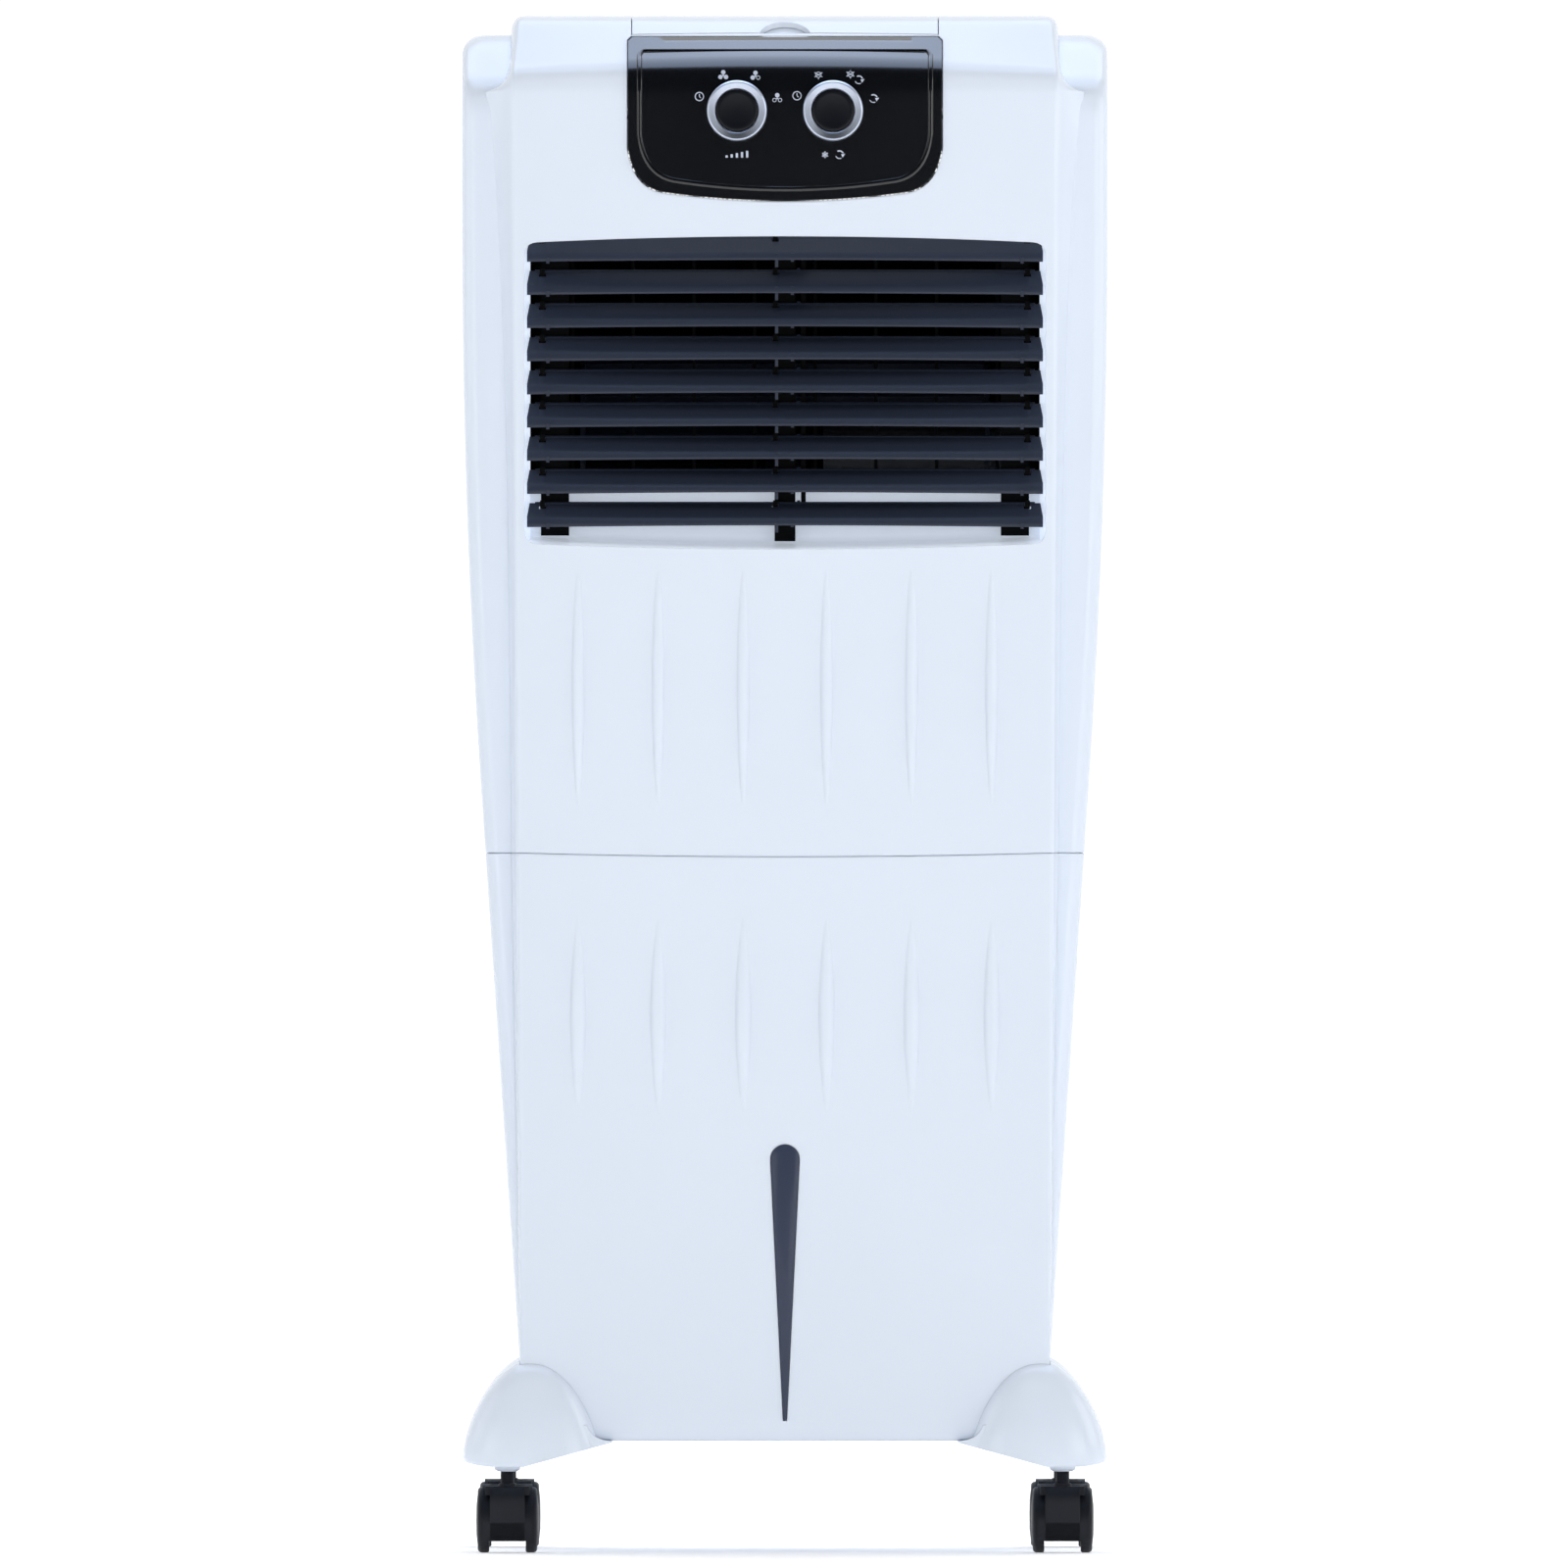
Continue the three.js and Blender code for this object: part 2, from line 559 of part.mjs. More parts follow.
// ---------- lid over the ice tray ----------
// A patch of the slope and roof between two offsets from the surface, as wide as the lid plus a margin.
function lidSheet(below, aside, backY, outer, inner) {
  const frontZ = LID.frontZ - below;
  const path = [
    [frontAt(frontZ, FRONT_Y, BAND_CORNER_Z), frontZ],
    [-133.3, 954.6],
    [-125, 958.3],
    [-113.3, HEIGHT],
    [backY, HEIGHT],
  ];
  const whole = bandSheet(path, spread(-0.62, 0.62, 2), outer, inner);
  return whole.intersect(box([-LID.half - aside, -200, 900], [LID.half + aside, 200, 1000]));
}
function topLid() {
  const flap = lidSheet(0, 0, LID.hingeY + 2.4, 0, WALL);
  const frontEdge = frontAt(LID.frontZ, FRONT_Y, BAND_CORNER_Z);
  const scoop = rod(16.5, 930, 980, Z, [0, frontEdge - 5, 0], 24);
  const trimmed = flap.subtract(scoop);
  const barrel = rod(2.6, -LID.half + 1, LID.half - 1, X, [0, LID.hingeY, LID.hingeZ], 12);
  const pin = rod(1.7, -LID.half - 3.6, LID.half + 3.6, X, [0, LID.hingeY, LID.hingeZ], 10);
  return union([trimmed, barrel, pin]);
}
function iceTray() {
  const rim = box([-100, -103, 948.4], [100, 57, 950.4]);
  const tub = box([-91, -97, 902], [91, 51, 949]);
  const inside = box([-89, -95, 904], [89, 49, 960]);
  return rim.add(tub).subtract(inside);
}

// ---------- louvres and their frame ----------
function louvreFrame() {
  const [front, back] = POST_Y;
  const posts = POSTS.flatMap(({ x, half, ear }) => {
    const post = box([x - half, front, sillZ(x) + 5.6], [x + half, back, 826.6]);
    const ears = louvreHeights.map((z) =>
      box([ear - 1.5, LOUVRE.y - 3.2, z - 2.8], [ear + 1.5, front + 1, z + 2.4]),
    );
    return [post, ...ears];
  });
  const plate = box([-161.6, -141.5, 818], [161.6, -106, 826.6]);
  const rail = box([-161.6, -118, 628], [161.6, -106, 634]);
  const sides = [-1, 1].flatMap((sign) => {
    const [low, high] = span(sign, 158.4, 161.6);
    return [box([low, -141.5, 667], [high, -106, 822]), box([low, -128, 628], [high, -106, 668])];
  });
  const louvreBores = louvreHeights.flatMap((z) =>
    POSTS.map(({ ear }) => rod(2, ear - 3, ear + 3, X, [0, LOUVRE.y, z], 6)),
  );
  const vaneBores = vaneXs.map((x) => rod(2.8, 600, 830, Z, [x, VANE.y, 0], 6));
  const crankBore = rod(3.5, 600, 640, Z, [SWING.x, VANE.y, 0], 10);
  return without(union([...posts, plate, rail, ...sides]), [
    union([...louvreBores, ...vaneBores, crankBore]),
  ]);
}
const louvreHeights = Array.from({ length: LOUVRE.count }, (_, i) => LOUVRE.topZ - i * LOUVRE.pitch);
const vaneXs = Array.from({ length: VANE.count }, (_, i) => (i - (VANE.count - 1) / 2) * VANE.pitch);

// One blade about its own pivot at the origin, front edge towards -Y and drooping.
function louvre() {
  const tilt = THREE.MathUtils.degToRad(LOUVRE.tilt);
  const end = LOUVRE.half;
  const cut = 1.6; // the plate stops this far short of the lip's pointed ends
  const xs = [-end, -end + cut, ...spread(-100, 100, 3), end - cut, end];
  const plate = loftAcross(
    xs.map((x) => {
      const swept = LOUVRE.chord - LOUVRE.sweep * (x / end) ** 2;
      const drop = LOUVRE.chord * Math.sin(tilt) + LOUVRE_ARCH * (x / end) ** 2;
      const [c, s] = [Math.sqrt(1 - (drop / swept) ** 2), drop / swept];
      const rear = (6 - swept) * Math.max(0, (Math.abs(x) - end + cut) / cut);
      const section = [
        [rear, 1],
        [-swept + 5, 0.9],
        [-swept + 1.2, -0.4],
        [-swept, -2.2],
        [-swept + 1.2, -2.9],
        [-swept + 4.5, -1],
        [rear, -1],
      ];
      return section.map(([a, b]) => [x, a * c - b * s, a * s + b * c]);
    }),
  );
  const notches = POSTS.map(({ ear }) => rod(5, ear - 2.1, ear + 2.1, X, [0, 0, 0], 8));
  const blade = without(plate, notches).add(rod(1.5, -156, 156, X, [0, 0, 0], 6));
  const { y, z } = LOUVRE_PIN;
  const reach = Math.hypot(y, z);
  const [wy, wz] = [(-z / reach) * 2.4, (y / reach) * 2.4];
  const [tipY, tipZ] = [y * 1.2, z * 1.2];
  const armOutline = [
    [wy, wz],
    [-wy, -wz],
    [tipY - wy, tipZ - wz],
    [tipY + wy, tipZ + wz],
  ];
  const arm = prism(armOutline, 7.5, 9.5, X);
  return union([blade, arm, rod(1.1, 9, 13.8, X, [0, y, z], 6)]);
}
function louvreLink() {
  const { x, y, z } = LOUVRE_PIN;
  const pinY = LOUVRE.y + y;
  const lowest = louvreHeights[louvreHeights.length - 1] + z;
  const bar = box([x - 1.5, pinY - 3, lowest - 3], [x + 1.5, pinY + 3, LOUVRE.topZ + z + 3]);
  return without(bar, louvreHeights.map((height) => rod(1.5, x - 3, x + 3, X, [0, pinY, height + z], 6)));
}

// One vane about its own upright pivot at x = y = 0.
function vane() {
  const half = VANE.chord / 2;
  const plate = box([-1, -half, VANE.low], [1, half, VANE.high]);
  const notch = box([-2, 5, 638], [2, half + 1, 648]);
  const pivot = (from, to) => rod(2, from, to, Z, [0, 0, 0], 6);
  const linkPin = rod(1.1, 637, 649, Z, [0, VANE_PIN, 0], 6);
  return union([plate.subtract(notch), pivot(629, VANE.low + 1), pivot(VANE.high - 1, 825), linkPin]);
}
function vaneLink() {
  const y = VANE.y + VANE_PIN;
  const bar = box([vaneXs[0] - 5, y - 3, 641], [vaneXs[VANE.count - 1] + 5, y + 3, 645]);
  return without(bar, vaneXs.map((x) => rod(1.6, 640, 646, Z, [x, y, 0], 6)));
}
function swingMotor() {
  const at = [SWING.x, VANE.y, 0];
  return union([
    rod(SWING.r, 608, 627.6, Z, at, 24),
    rod(2.5, 620, 636, Z, at, 10),
    rod(6.5, 634.6, 637.6, Z, at, 18),
  ]);
}

// ---------- blower ----------
// The scroll in (y, z): a spiral from the tongue round below and behind to the top, then forward.
function scrollOutline(grow, mouthY) {
  const points = spread(200, 450, 20).map((degrees) => {
    const r = SCROLL.r0 + ((SCROLL.r1 - SCROLL.r0) * (degrees - 200)) / 250 + grow;
    const angle = THREE.MathUtils.degToRad(degrees);
    return [FAN.y + r * Math.cos(angle), FAN.z + r * Math.sin(angle)];
  });
  return [...points, [mouthY, 812 + grow], [mouthY, 637 - grow]];
}
function voluteHalf(sign) {
  const [outerLow, outerHigh] = span(sign, 0.2, SCROLL.half);
  const [innerLow, innerHigh] = span(sign, -1, SCROLL.half - SCROLL.wall);
  const outer = prism(scrollOutline(SCROLL.wall, SCROLL.mouthY), outerLow, outerHigh, X);
  return without(outer, [
    prism(scrollOutline(0, SCROLL.mouthY - 10), innerLow, innerHigh, X),
    rod(SCROLL.inletR, -150, 150, X, [0, FAN.y, FAN.z], 36),
  ]);
}
// Forward-curved drum wheel with a middle disc, about the x axis through the origin.
function impeller() {
  const { r, innerR, half, blades } = FAN;
  const blade = (angle) => {
    const section = [
      [innerR + 1, 0],
      [r - 1, 8],
      [r - 1, 10],
      [innerR + 1, 2],
    ];
    const [c, s] = [Math.cos(angle), Math.sin(angle)];
    return prism(section.map(([a, b]) => [a * c - b * s, a * s + b * c]), -half + 1, half - 1, X);
  };
  const ring = (from, to) => rod(r, from, to, X, [0, 0, 0], 30).subtract(
    rod(innerR, from - 1, to + 1, X, [0, 0, 0], 30),
  );
  const disc = rod(r, -1.5, 1.5, X, [0, 0, 0], 30);
  const hub = rod(14, -12, 12, X, [0, 0, 0], 20);
  const wheel = union([
    ring(-half, -half + 3),
    ring(half - 3, half),
    disc,
    hub,
    ...spread(0, 2 * Math.PI, blades).slice(0, -1).map(blade),
  ]);
  return wheel.subtract(rod(4.4, -20, 20, X, [0, 0, 0], 12));
}
function fanMotor() {
  const at = [0, FAN.y, FAN.z];
  const can = rod(36, 24, 141, X, at, 30);
  const shaft = rod(4, -14, 30, X, at, 12);
  const arms = [30, 150, 270].map((degrees) => {
    const arm = box([140.6, 20, -6], [144, 86, 6]);
    return solid(geometryOf(pitched(arm, degrees)).translate(...at));
  });
  return union([can, shaft, ...arms]);
}

// ---------- cooling, water and intake ----------
const coolingPad = () => box([-PAD.half, PAD.front, PAD.low], [PAD.half, PAD.back, PAD.high]);
function waterDistributor() {
  const trough = box([-PAD.half, PAD.front, PAD.high + 0.4], [PAD.half, PAD.back, PAD.high + 20]);
  const inside = box([-PAD.half + 2, PAD.front + 2, PAD.high + 2.4], [PAD.half - 2, PAD.back - 2, 960]);
  const drips = spread(-130, 130, 6).map((x) => rod(2.5, 870, 890, Z, [x, 149, 0], 6));
  return without(trough, [inside, ...drips, rod(7.2, -160, -140, X, [0, 147.6, PAD.high + 10.6], 14)]);
}
function waterPipe() {
  const corners = [
    [PIPE.pumpX, PIPE.pumpY, 140],
    [PIPE.pumpX, PIPE.pumpY, 200],
    [-140, 106, 300],
    [-162, 112, 400],
    [PIPE.x, 112, 520],
    [PIPE.x, 112, PAD.high - 60],
    [PIPE.x, 130, PAD.high],
    [-160, 148, PAD.high + 12],
    [-140, 149, PAD.high + 12],
  ].map((p) => new THREE.Vector3(...p));
  const path = new THREE.CatmullRomCurve3(corners, false, 'catmullrom', 0.3);
  const section = new THREE.Shape().absarc(0, 0, PIPE.r, 0, 2 * Math.PI, false);
  const options = { steps: 26, curveSegments: 4, extrudePath: path, bevelEnabled: false };
  return solid(new THREE.ExtrudeGeometry(section, options));
}
function pump() {
  const at = [PIPE.pumpX, PIPE.pumpY, 0];
  const floor = TANK_Z + WALL + 0.4;
  return union([
    rod(27, floor + 6, 124, Z, at, 28),
    rod(22, floor, floor + 7, Z, at, 20),
    rod(12, 120, 132, Z, at, 20),
    rod(6.5, 130, 139.6, Z, at, 14),
  ]);
}
function rearGrille() {
  const half = INTAKE.half - 0.6;
  const plate = box([-half, 176, INTAKE.low + 0.6], [half, 184.5, INTAKE.high - 0.6]);
  const slots = spread(0, 12, 12).flatMap((row) => {
    const z = INTAKE.low + 16 + row * 31.6;
    return [-76, 76].map((x) => box([x - 70, 170, z], [x + 70, 190, z + 22]));
  });
  return plate.subtract(union(slots));
}
function dustFilter() {
  const frame = box([-150, 166, 474], [150, 172, 901]).subtract(box([-144, 160, 480], [144, 180, 895]));
  return frame.add(box([-146, 168.6, 478], [146, 169.4, 897]));
}
function levelWindow() {
  const lens = prism(levelOutline(), -184, -178, Y);
  return lens.add(prism(levelOutline(3), -179.6, -177.4, Y));
}
function drainPlug() {
  const at = [DRAIN.x, 0, DRAIN.z];
  return union([rod(9.4, 176, 186, Y, at, 20), rod(14, 183.5, 190, Y, at, 12)]);
}
function cordGland() {
  const at = [GLAND.x, 0, GLAND.z];
  const body = rod(GLAND.r, 174, 186, Y, at, 14).add(rod(9, 183.5, 191, Y, at, 14, 6));
  return body.subtract(rod(3.4, 170, 200, Y, at, 12));
}

// ---------- castors ----------
// Web and stem of one castor about its swivel axis; the wheels trail towards +Y.
function castorWeb() {
  const { trail, wheelR, webHalf, stemR } = CASTOR;
  const outline = new THREE.Shape();
  outline.moveTo(-9, 41);
  outline.quadraticCurveTo(-13, 36, -10, 24);
  outline.quadraticCurveTo(-6, 7, trail - 2, 7);
  outline.absarc(trail, wheelR, wheelR - 7, -Math.PI / 2, Math.PI / 3, false);
  outline.quadraticCurveTo(trail + 2, 41, 9, 41);
  const angles = spread(...HOOD.arc.map(THREE.MathUtils.degToRad), 12);
  const arc = (r) => angles.map((a) => [trail + r * Math.cos(a), wheelR + r * Math.sin(a)]);
  const shell = prism([...arc(HOOD.outer), ...arc(HOOD.inner).reverse()], -HOOD.half, HOOD.half, X);
  const sector = prism([...arc(HOOD.outer), [trail, wheelR]], -webHalf, webHalf, X);
  const wheelSpace = rod(HOOD.inner, -20, 20, X, [0, trail, wheelR], 30);
  const shoulder = box([-13.7, -8, 36], [13.7, 8, 41.6]).subtract(wheelSpace);
  const web = union([prism(outline, -webHalf, webHalf, X), sector, shell, shoulder]);
  const stem = rod(stemR, 40, 79, Z, [0, 0, 0], 14).add(rod(5.6, 40.5, 43.5, Z, [0, 0, 0], 14));
  return web.add(stem).subtract(rod(3.6, -20, 20, X, [0, trail, wheelR], 12));
}
// Two domed wheels on their axle, about the axle's middle.
function castorWheels() {
  const { wheelR, half, webHalf } = CASTOR;
  const inner = webHalf + 0.6;
  const profile = [
    [0, inner],
    [wheelR, inner],
    [wheelR, half - 3.4],
    [wheelR - 1.4, half - 1.2],
    [wheelR - 5, half - 0.2],
    [0, half],
  ];
  const wheel = turnedSolid(profile, 20);
  const side = (degrees) => solid(geometryOf(wheel).rotateZ(THREE.MathUtils.degToRad(degrees)));
  return union([side(-90), side(90), rod(3.1, -inner - 1, inner + 1, X, [0, 0, 0], 12)]);
}

// ---------- assembly ----------
add('front_cover', union([frontCover(), ...RIB_XS.map((x) => rib(x, 465, 616, 4, 0.6))]), WHITE);
add('upper_cabinet', cabinet(), WHITE);
add('water_tank', union([waterTank(), ...RIB_XS.map((x) => rib(x, 278, 399, 5, 0.8))]), WHITE);
for (const [end, signY] of Object.entries({ front: -1, rear: 1 })) {
  for (const [side, signX] of Object.entries({ left: -1, right: 1 })) {
    add(`foot_${end}_${side}`, foot(signX, signY), WHITE);
    const web = add(`castor_web_${end}_${side}`, castorWeb(), CHARCOAL, scene, [
      CASTOR.x * signX,
      CASTOR.y * signY,
      0,
    ]);
    add(`castor_wheels_${end}_${side}`, castorWheels(), CHARCOAL, web, [0, CASTOR.trail, CASTOR.wheelR]);
  }
}
add('control_panel', controlPanel(), BLACK_GLOSS);
for (const [name, x] of Object.entries({ speed: -KNOB.x, mode: KNOB.x })) {
  add(`${name}_switch`, rotarySwitch(x), BLACK);
  const ring = add(`${name}_knob_ring`, knobRing(), CHROME, scene, [x, 0, KNOB.z]);
  add(`${name}_knob_cap`, knobCap(), BLACK_GLOSS, ring);
}
add('level_window', levelWindow(), SMOKE);
add('top_lid', topLid(), WHITE);
add('ice_tray', iceTray(), WHITE);
add('louvre_frame', louvreFrame(), BLACK);
louvreHeights.forEach((z, i) => add(`louvre_${i + 1}`, louvre(), CHARCOAL, scene, [0, LOUVRE.y, z]));
add('louvre_link', louvreLink(), BLACK);
vaneXs.forEach((x, i) => add(`vane_${i + 1}`, vane(), BLACK, scene, [x, VANE.y, 0]));
add('vane_link', vaneLink(), BLACK);
add('swing_motor', swingMotor(), STEEL);
add('volute_left', voluteHalf(-1), BLACK);
add('volute_right', voluteHalf(1), BLACK);
add('impeller', impeller(), CHARCOAL, scene, [0, FAN.y, FAN.z]);
add('fan_motor', fanMotor(), STEEL);
add('cooling_pad', coolingPad(), PAPER);
add('water_distributor', waterDistributor(), WHITE);
add('water_pipe', waterPipe(), CLEAR_TUBE);
add('pump', pump(), BLACK);
add('rear_grille', rearGrille(), WHITE);
add('dust_filter', dustFilter(), NET);
add('drain_plug', drainPlug(), RUBBER);
add('cord_gland', cordGland(), RUBBER);
export default scene;
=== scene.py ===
"""Looks of the tower evaporative cooler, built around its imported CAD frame.

Metres, +Z up, front towards -Y, origin on the floor under the middle of the cooler.
"""

import math

import bmesh
import bpy
from mathutils import Matrix, Vector


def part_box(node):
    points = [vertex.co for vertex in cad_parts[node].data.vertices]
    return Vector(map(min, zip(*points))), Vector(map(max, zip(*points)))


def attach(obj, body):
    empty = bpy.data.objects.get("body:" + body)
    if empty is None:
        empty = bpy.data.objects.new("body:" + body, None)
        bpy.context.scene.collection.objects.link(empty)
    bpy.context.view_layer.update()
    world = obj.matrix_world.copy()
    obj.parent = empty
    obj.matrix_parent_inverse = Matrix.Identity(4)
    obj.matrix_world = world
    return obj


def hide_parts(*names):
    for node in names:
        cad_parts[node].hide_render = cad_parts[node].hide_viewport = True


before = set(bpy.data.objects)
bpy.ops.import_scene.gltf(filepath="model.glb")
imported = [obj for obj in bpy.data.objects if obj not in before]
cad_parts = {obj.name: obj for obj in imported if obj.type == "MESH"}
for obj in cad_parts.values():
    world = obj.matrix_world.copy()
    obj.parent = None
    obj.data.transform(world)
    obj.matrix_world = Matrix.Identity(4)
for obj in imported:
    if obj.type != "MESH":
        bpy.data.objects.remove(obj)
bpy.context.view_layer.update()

# ---------- driving dimensions ----------
HEIGHT = 0.960
SHOULDER = 0.948
SEAM = 0.437
SEAM_GAP = 0.0004
SEAM_SHOWN = 0.00015
SEAM_DIP = 0.0024
LIP_R = 0.0006
LIP_INSET = 0.0030
LIP_DEPTH = 0.0024
RIM_HALF = 0.004
TANK_BOTTOM = 0.070
TANK_INNER = -0.150
BASE_R = 0.004
BASE_RISE = 0.0012
FRONT = -0.183
BACK = 0.183
WING_FRONT = -0.163
BAND_BACK = 0.178
BULGE = 0.006
MAX_HALF = 0.2015
TAPER_FROM = 0.829
TAPER_RUN = 0.350
TAPER_CURVE = 0.096
CORNER_R = 0.026
BAND_CORNER = 0.926
WING_CORNER = 0.914
WING_FRONT_R = 0.009
WING_BACK_R = 0.024
CREST_R = 0.040
PITCH = math.radians(30)
CORNER_START = BAND_CORNER - CORNER_R * math.tan(PITCH)
SLOPE_LOW = 0.9350
SLOPE_HIGH = 0.9540
ROOF_FRONT = -0.110
SKIN = 0.0019
SHOULDER_R = 0.012

BAND_TOP_HALF = 0.170
BAND_TAPER = 0.0055
BULGE_FULL = 0.9335
# The band's slanted return and rounded edge change in size along its profile.
RETURN_WIDTH = 0.004
RETURN_FLARE = 0.0137
RETURN_WIDEST = 0.917
RETURN_FADE = 0.130
RETURN_END = 0.119
RETURN_DEPTH = 0.0215
RETURN_LOSS = 0.0085
LOSS_FROM = -0.125
LOSS_RUN = 0.027
EDGE_R = 0.002
EDGE_GAIN = 0.006
EDGE_GROWS = 0.930

# Openings: boxes, or a radius and a centre for a round hole. They reach past the walls they cut.
CUT_FRONT = -0.200
BACK_CUT = (0.170, 0.200)
GRILLE_HOLE = ((-0.156, 0.170, 0.470), (0.156, 0.200, 0.905))
LID_WELL = ((-0.094, -0.118, 0.930), (0.094, 0.074, 0.960))
CABINET_FRONT = ((-0.164, CUT_FRONT, 0.455), (0.164, -0.140, 0.922))
TANK_FRONT = ((-0.150, CUT_FRONT, 0.080), (0.150, -0.150, 0.425))
GLAND_HOLE = (0.0059, (0.128, 0, 0.454))
DRAIN_HOLE = (0.010, (-0.070, 0, 0.092))

WINDOW_HALF = 0.1625
WINDOW_TOP = 0.8220
WINDOW_BOTTOM = 0.6260
WINDOW_SAG = 0.0045
DUCT_DEPTH = (-0.1765, -0.133)
DUCT_CEILING = 0.827
DUCT_HEIGHT = (0.627, 0.829)
DUCT_WALL = 0.0022
STRIP_WIDTH = 0.0035
STRIP_DEPTH = (-0.1565, -0.142)
STRIP_HEIGHT = (0.632, 0.828)
SCREEN_SPAN = (0.1495, 0.1590)
SCREEN_DEPTH = (-0.1280, -0.1265)
SCREEN_HEIGHT = (0.640, 0.828)
SILL_SUNK = 0.0015
DEFLECTOR_TOP = 0.664
DEFLECTOR_DEPTH = (-0.1325, -0.1303)

CONSOLE_HALF = 0.098
CONSOLE_TOP = 0.9465
CONSOLE_BOTTOM = 0.8440
CONSOLE_PROUD = 0.0015
CONSOLE_GAP = 0.0005
LEVEL_GAP = 0.0003
BEAD_INSET = 0.0072
BEAD_SIZE = (0.0017, 0.0009)
LID_HALF = 0.0955
LID_FRONT = 0.9493
LID_HINGE = (0.064, 0.9565)
LID_GAP = 0.0005
SCOOP_R = 0.0165
SCOOP_DEPTH = 0.0034

PRINT_LIFT = 0.00025
PRINT_WIDTH = 0.0006
PRINT_STEPS = 20

KNOB_X = 0.030
KNOB_Z = 0.900
KNOB_R = 0.019
KNOB_CAP_R = 0.0132
KNOB_BACK = FRONT - CONSOLE_PROUD - SEAM_GAP
KNOB_DEPTH = 0.011
KNOB_BORE = 0.0034
SHAFT_HOLE = 0.0036

LOUVRES = 9
LOUVRE_Y = -0.1585
LOUVRE_TOP = 0.8203
LOUVRE_PITCH = 0.0207
LOUVRE_CHORD = 0.0225
LOUVRE_SWEEP = 0.005
LOUVRE_ARCH = 0.0016
LOUVRE_HALF = 0.161
LOUVRE_TILT = math.radians(30)
LOUVRE_END = 0.0016
LOUVRE_REAR = 0.006
LOUVRE_ROD = (0.0015, 0.156)
LINK_PIN = (0.0091, -0.0042)
EAR_XS = (-0.1514, -0.006, 0.1514)
NOTCH_HALF = 0.00215
NOTCH_DEPTH = 0.0052
# Stops under each blade, as x, y, low end and high end; one of the middle pair is the longest.
STOPS = (
    (-0.1480, -0.0118, -0.0155, -0.0118),
    (0.1480, -0.0118, -0.0155, -0.0118),
    (-0.0052, -0.0165, -0.0178, -0.0092),
    (0.0046, -0.0165, -0.0144, -0.0092),
)
STOP_HALF = 0.0010

# Ribs, as low end, high end, half width and how full their ends are.
RIB_XS = (-0.129, -0.079, -0.026, 0.026, 0.079, 0.129)
COVER_RIB = (0.465, 0.616, 0.004, 0.6)
TANK_RIB = (0.272, 0.399, 0.005, 0.8)
RIB_RISE = 0.0022
RIB_SUNK = 0.0006

FOOT_AT = (0.158, 0.150)
FOOT_HALF = (0.0435, 0.046)
FOOT_LOW = 0.054
FOOT_FULL = 0.057
FOOT_RISE = 0.065
FOOT_POWER = 1.7
FOOT_PLAN = 2.6
FOOT_DEEP = 7
FOOT_GAP = 0.0002
RIM_LIFT = 0.0036
RIM_LIFT_FROM = 0.022
RIM_LIFT_RUN = 0.0215

CASTOR_AT = (0.1733, 0.152)
CASTOR_TRAIL = 0.014
WHEEL_R = 0.0205
WHEEL_OUT = 0.0195
WEB_HALF = 0.0108
HOOD_IN = 0.0209
HOOD_OUT = 0.0223
HOOD_HALF = 0.0156
HOOD_ARC = (math.radians(50), math.radians(216))
AXLE_R = 0.0031
STEM_R = 0.0044
THREAD_LOW = 0.0436
THREAD_PITCH = 0.0006

PAD_SHELF = ((-0.152, 0.122, 0.461), (0.152, 0.1805, 0.465))
PAD_PITCH = 0.0058
PAD_WAVE = 0.0026
PAD_WAVELENGTH = 0.0145
PAPER_THICK = 0.0004
NET_RAIL = 0.006
NET_THREAD = 0.00035
NET_CELLS = (96, 138)
SCREW_R = 0.0036

CAMERA_DISTANCE = 40.0
CAMERA_LENS = 1472
CAMERA_SHIFT = -0.0006


# ---------- materials ----------
def srgb(red, green, blue):
    """Linear colour from 0-255 display values."""
    return tuple(
        c / 12.92 if c <= 0.04045 else ((c + 0.055) / 1.055) ** 2.4
        for c in (red / 255, green / 255, blue / 255)
    ) + (1.0,)


# Finishes that aren't in the record belong to one of its slots.
BORROWED_SLOTS = {
    "knob_cap": "black_gloss",
    "castor_grey": "charcoal",
    "screw": "motor_steel",
    "print": "white_shell",
    "window_liner_glowing": "white_shell",
}


COAT_ROUGHNESS = 0.06
BROAD_SCALE = 9.0
GLOSS_SPREAD = (0.88, 1.14)
MOTTLE = 0.965
TEXTURE_DEPTH = 0.0002


def set_inputs(node, values):
    for name, value in values.items():
        node.inputs[name].default_value = value


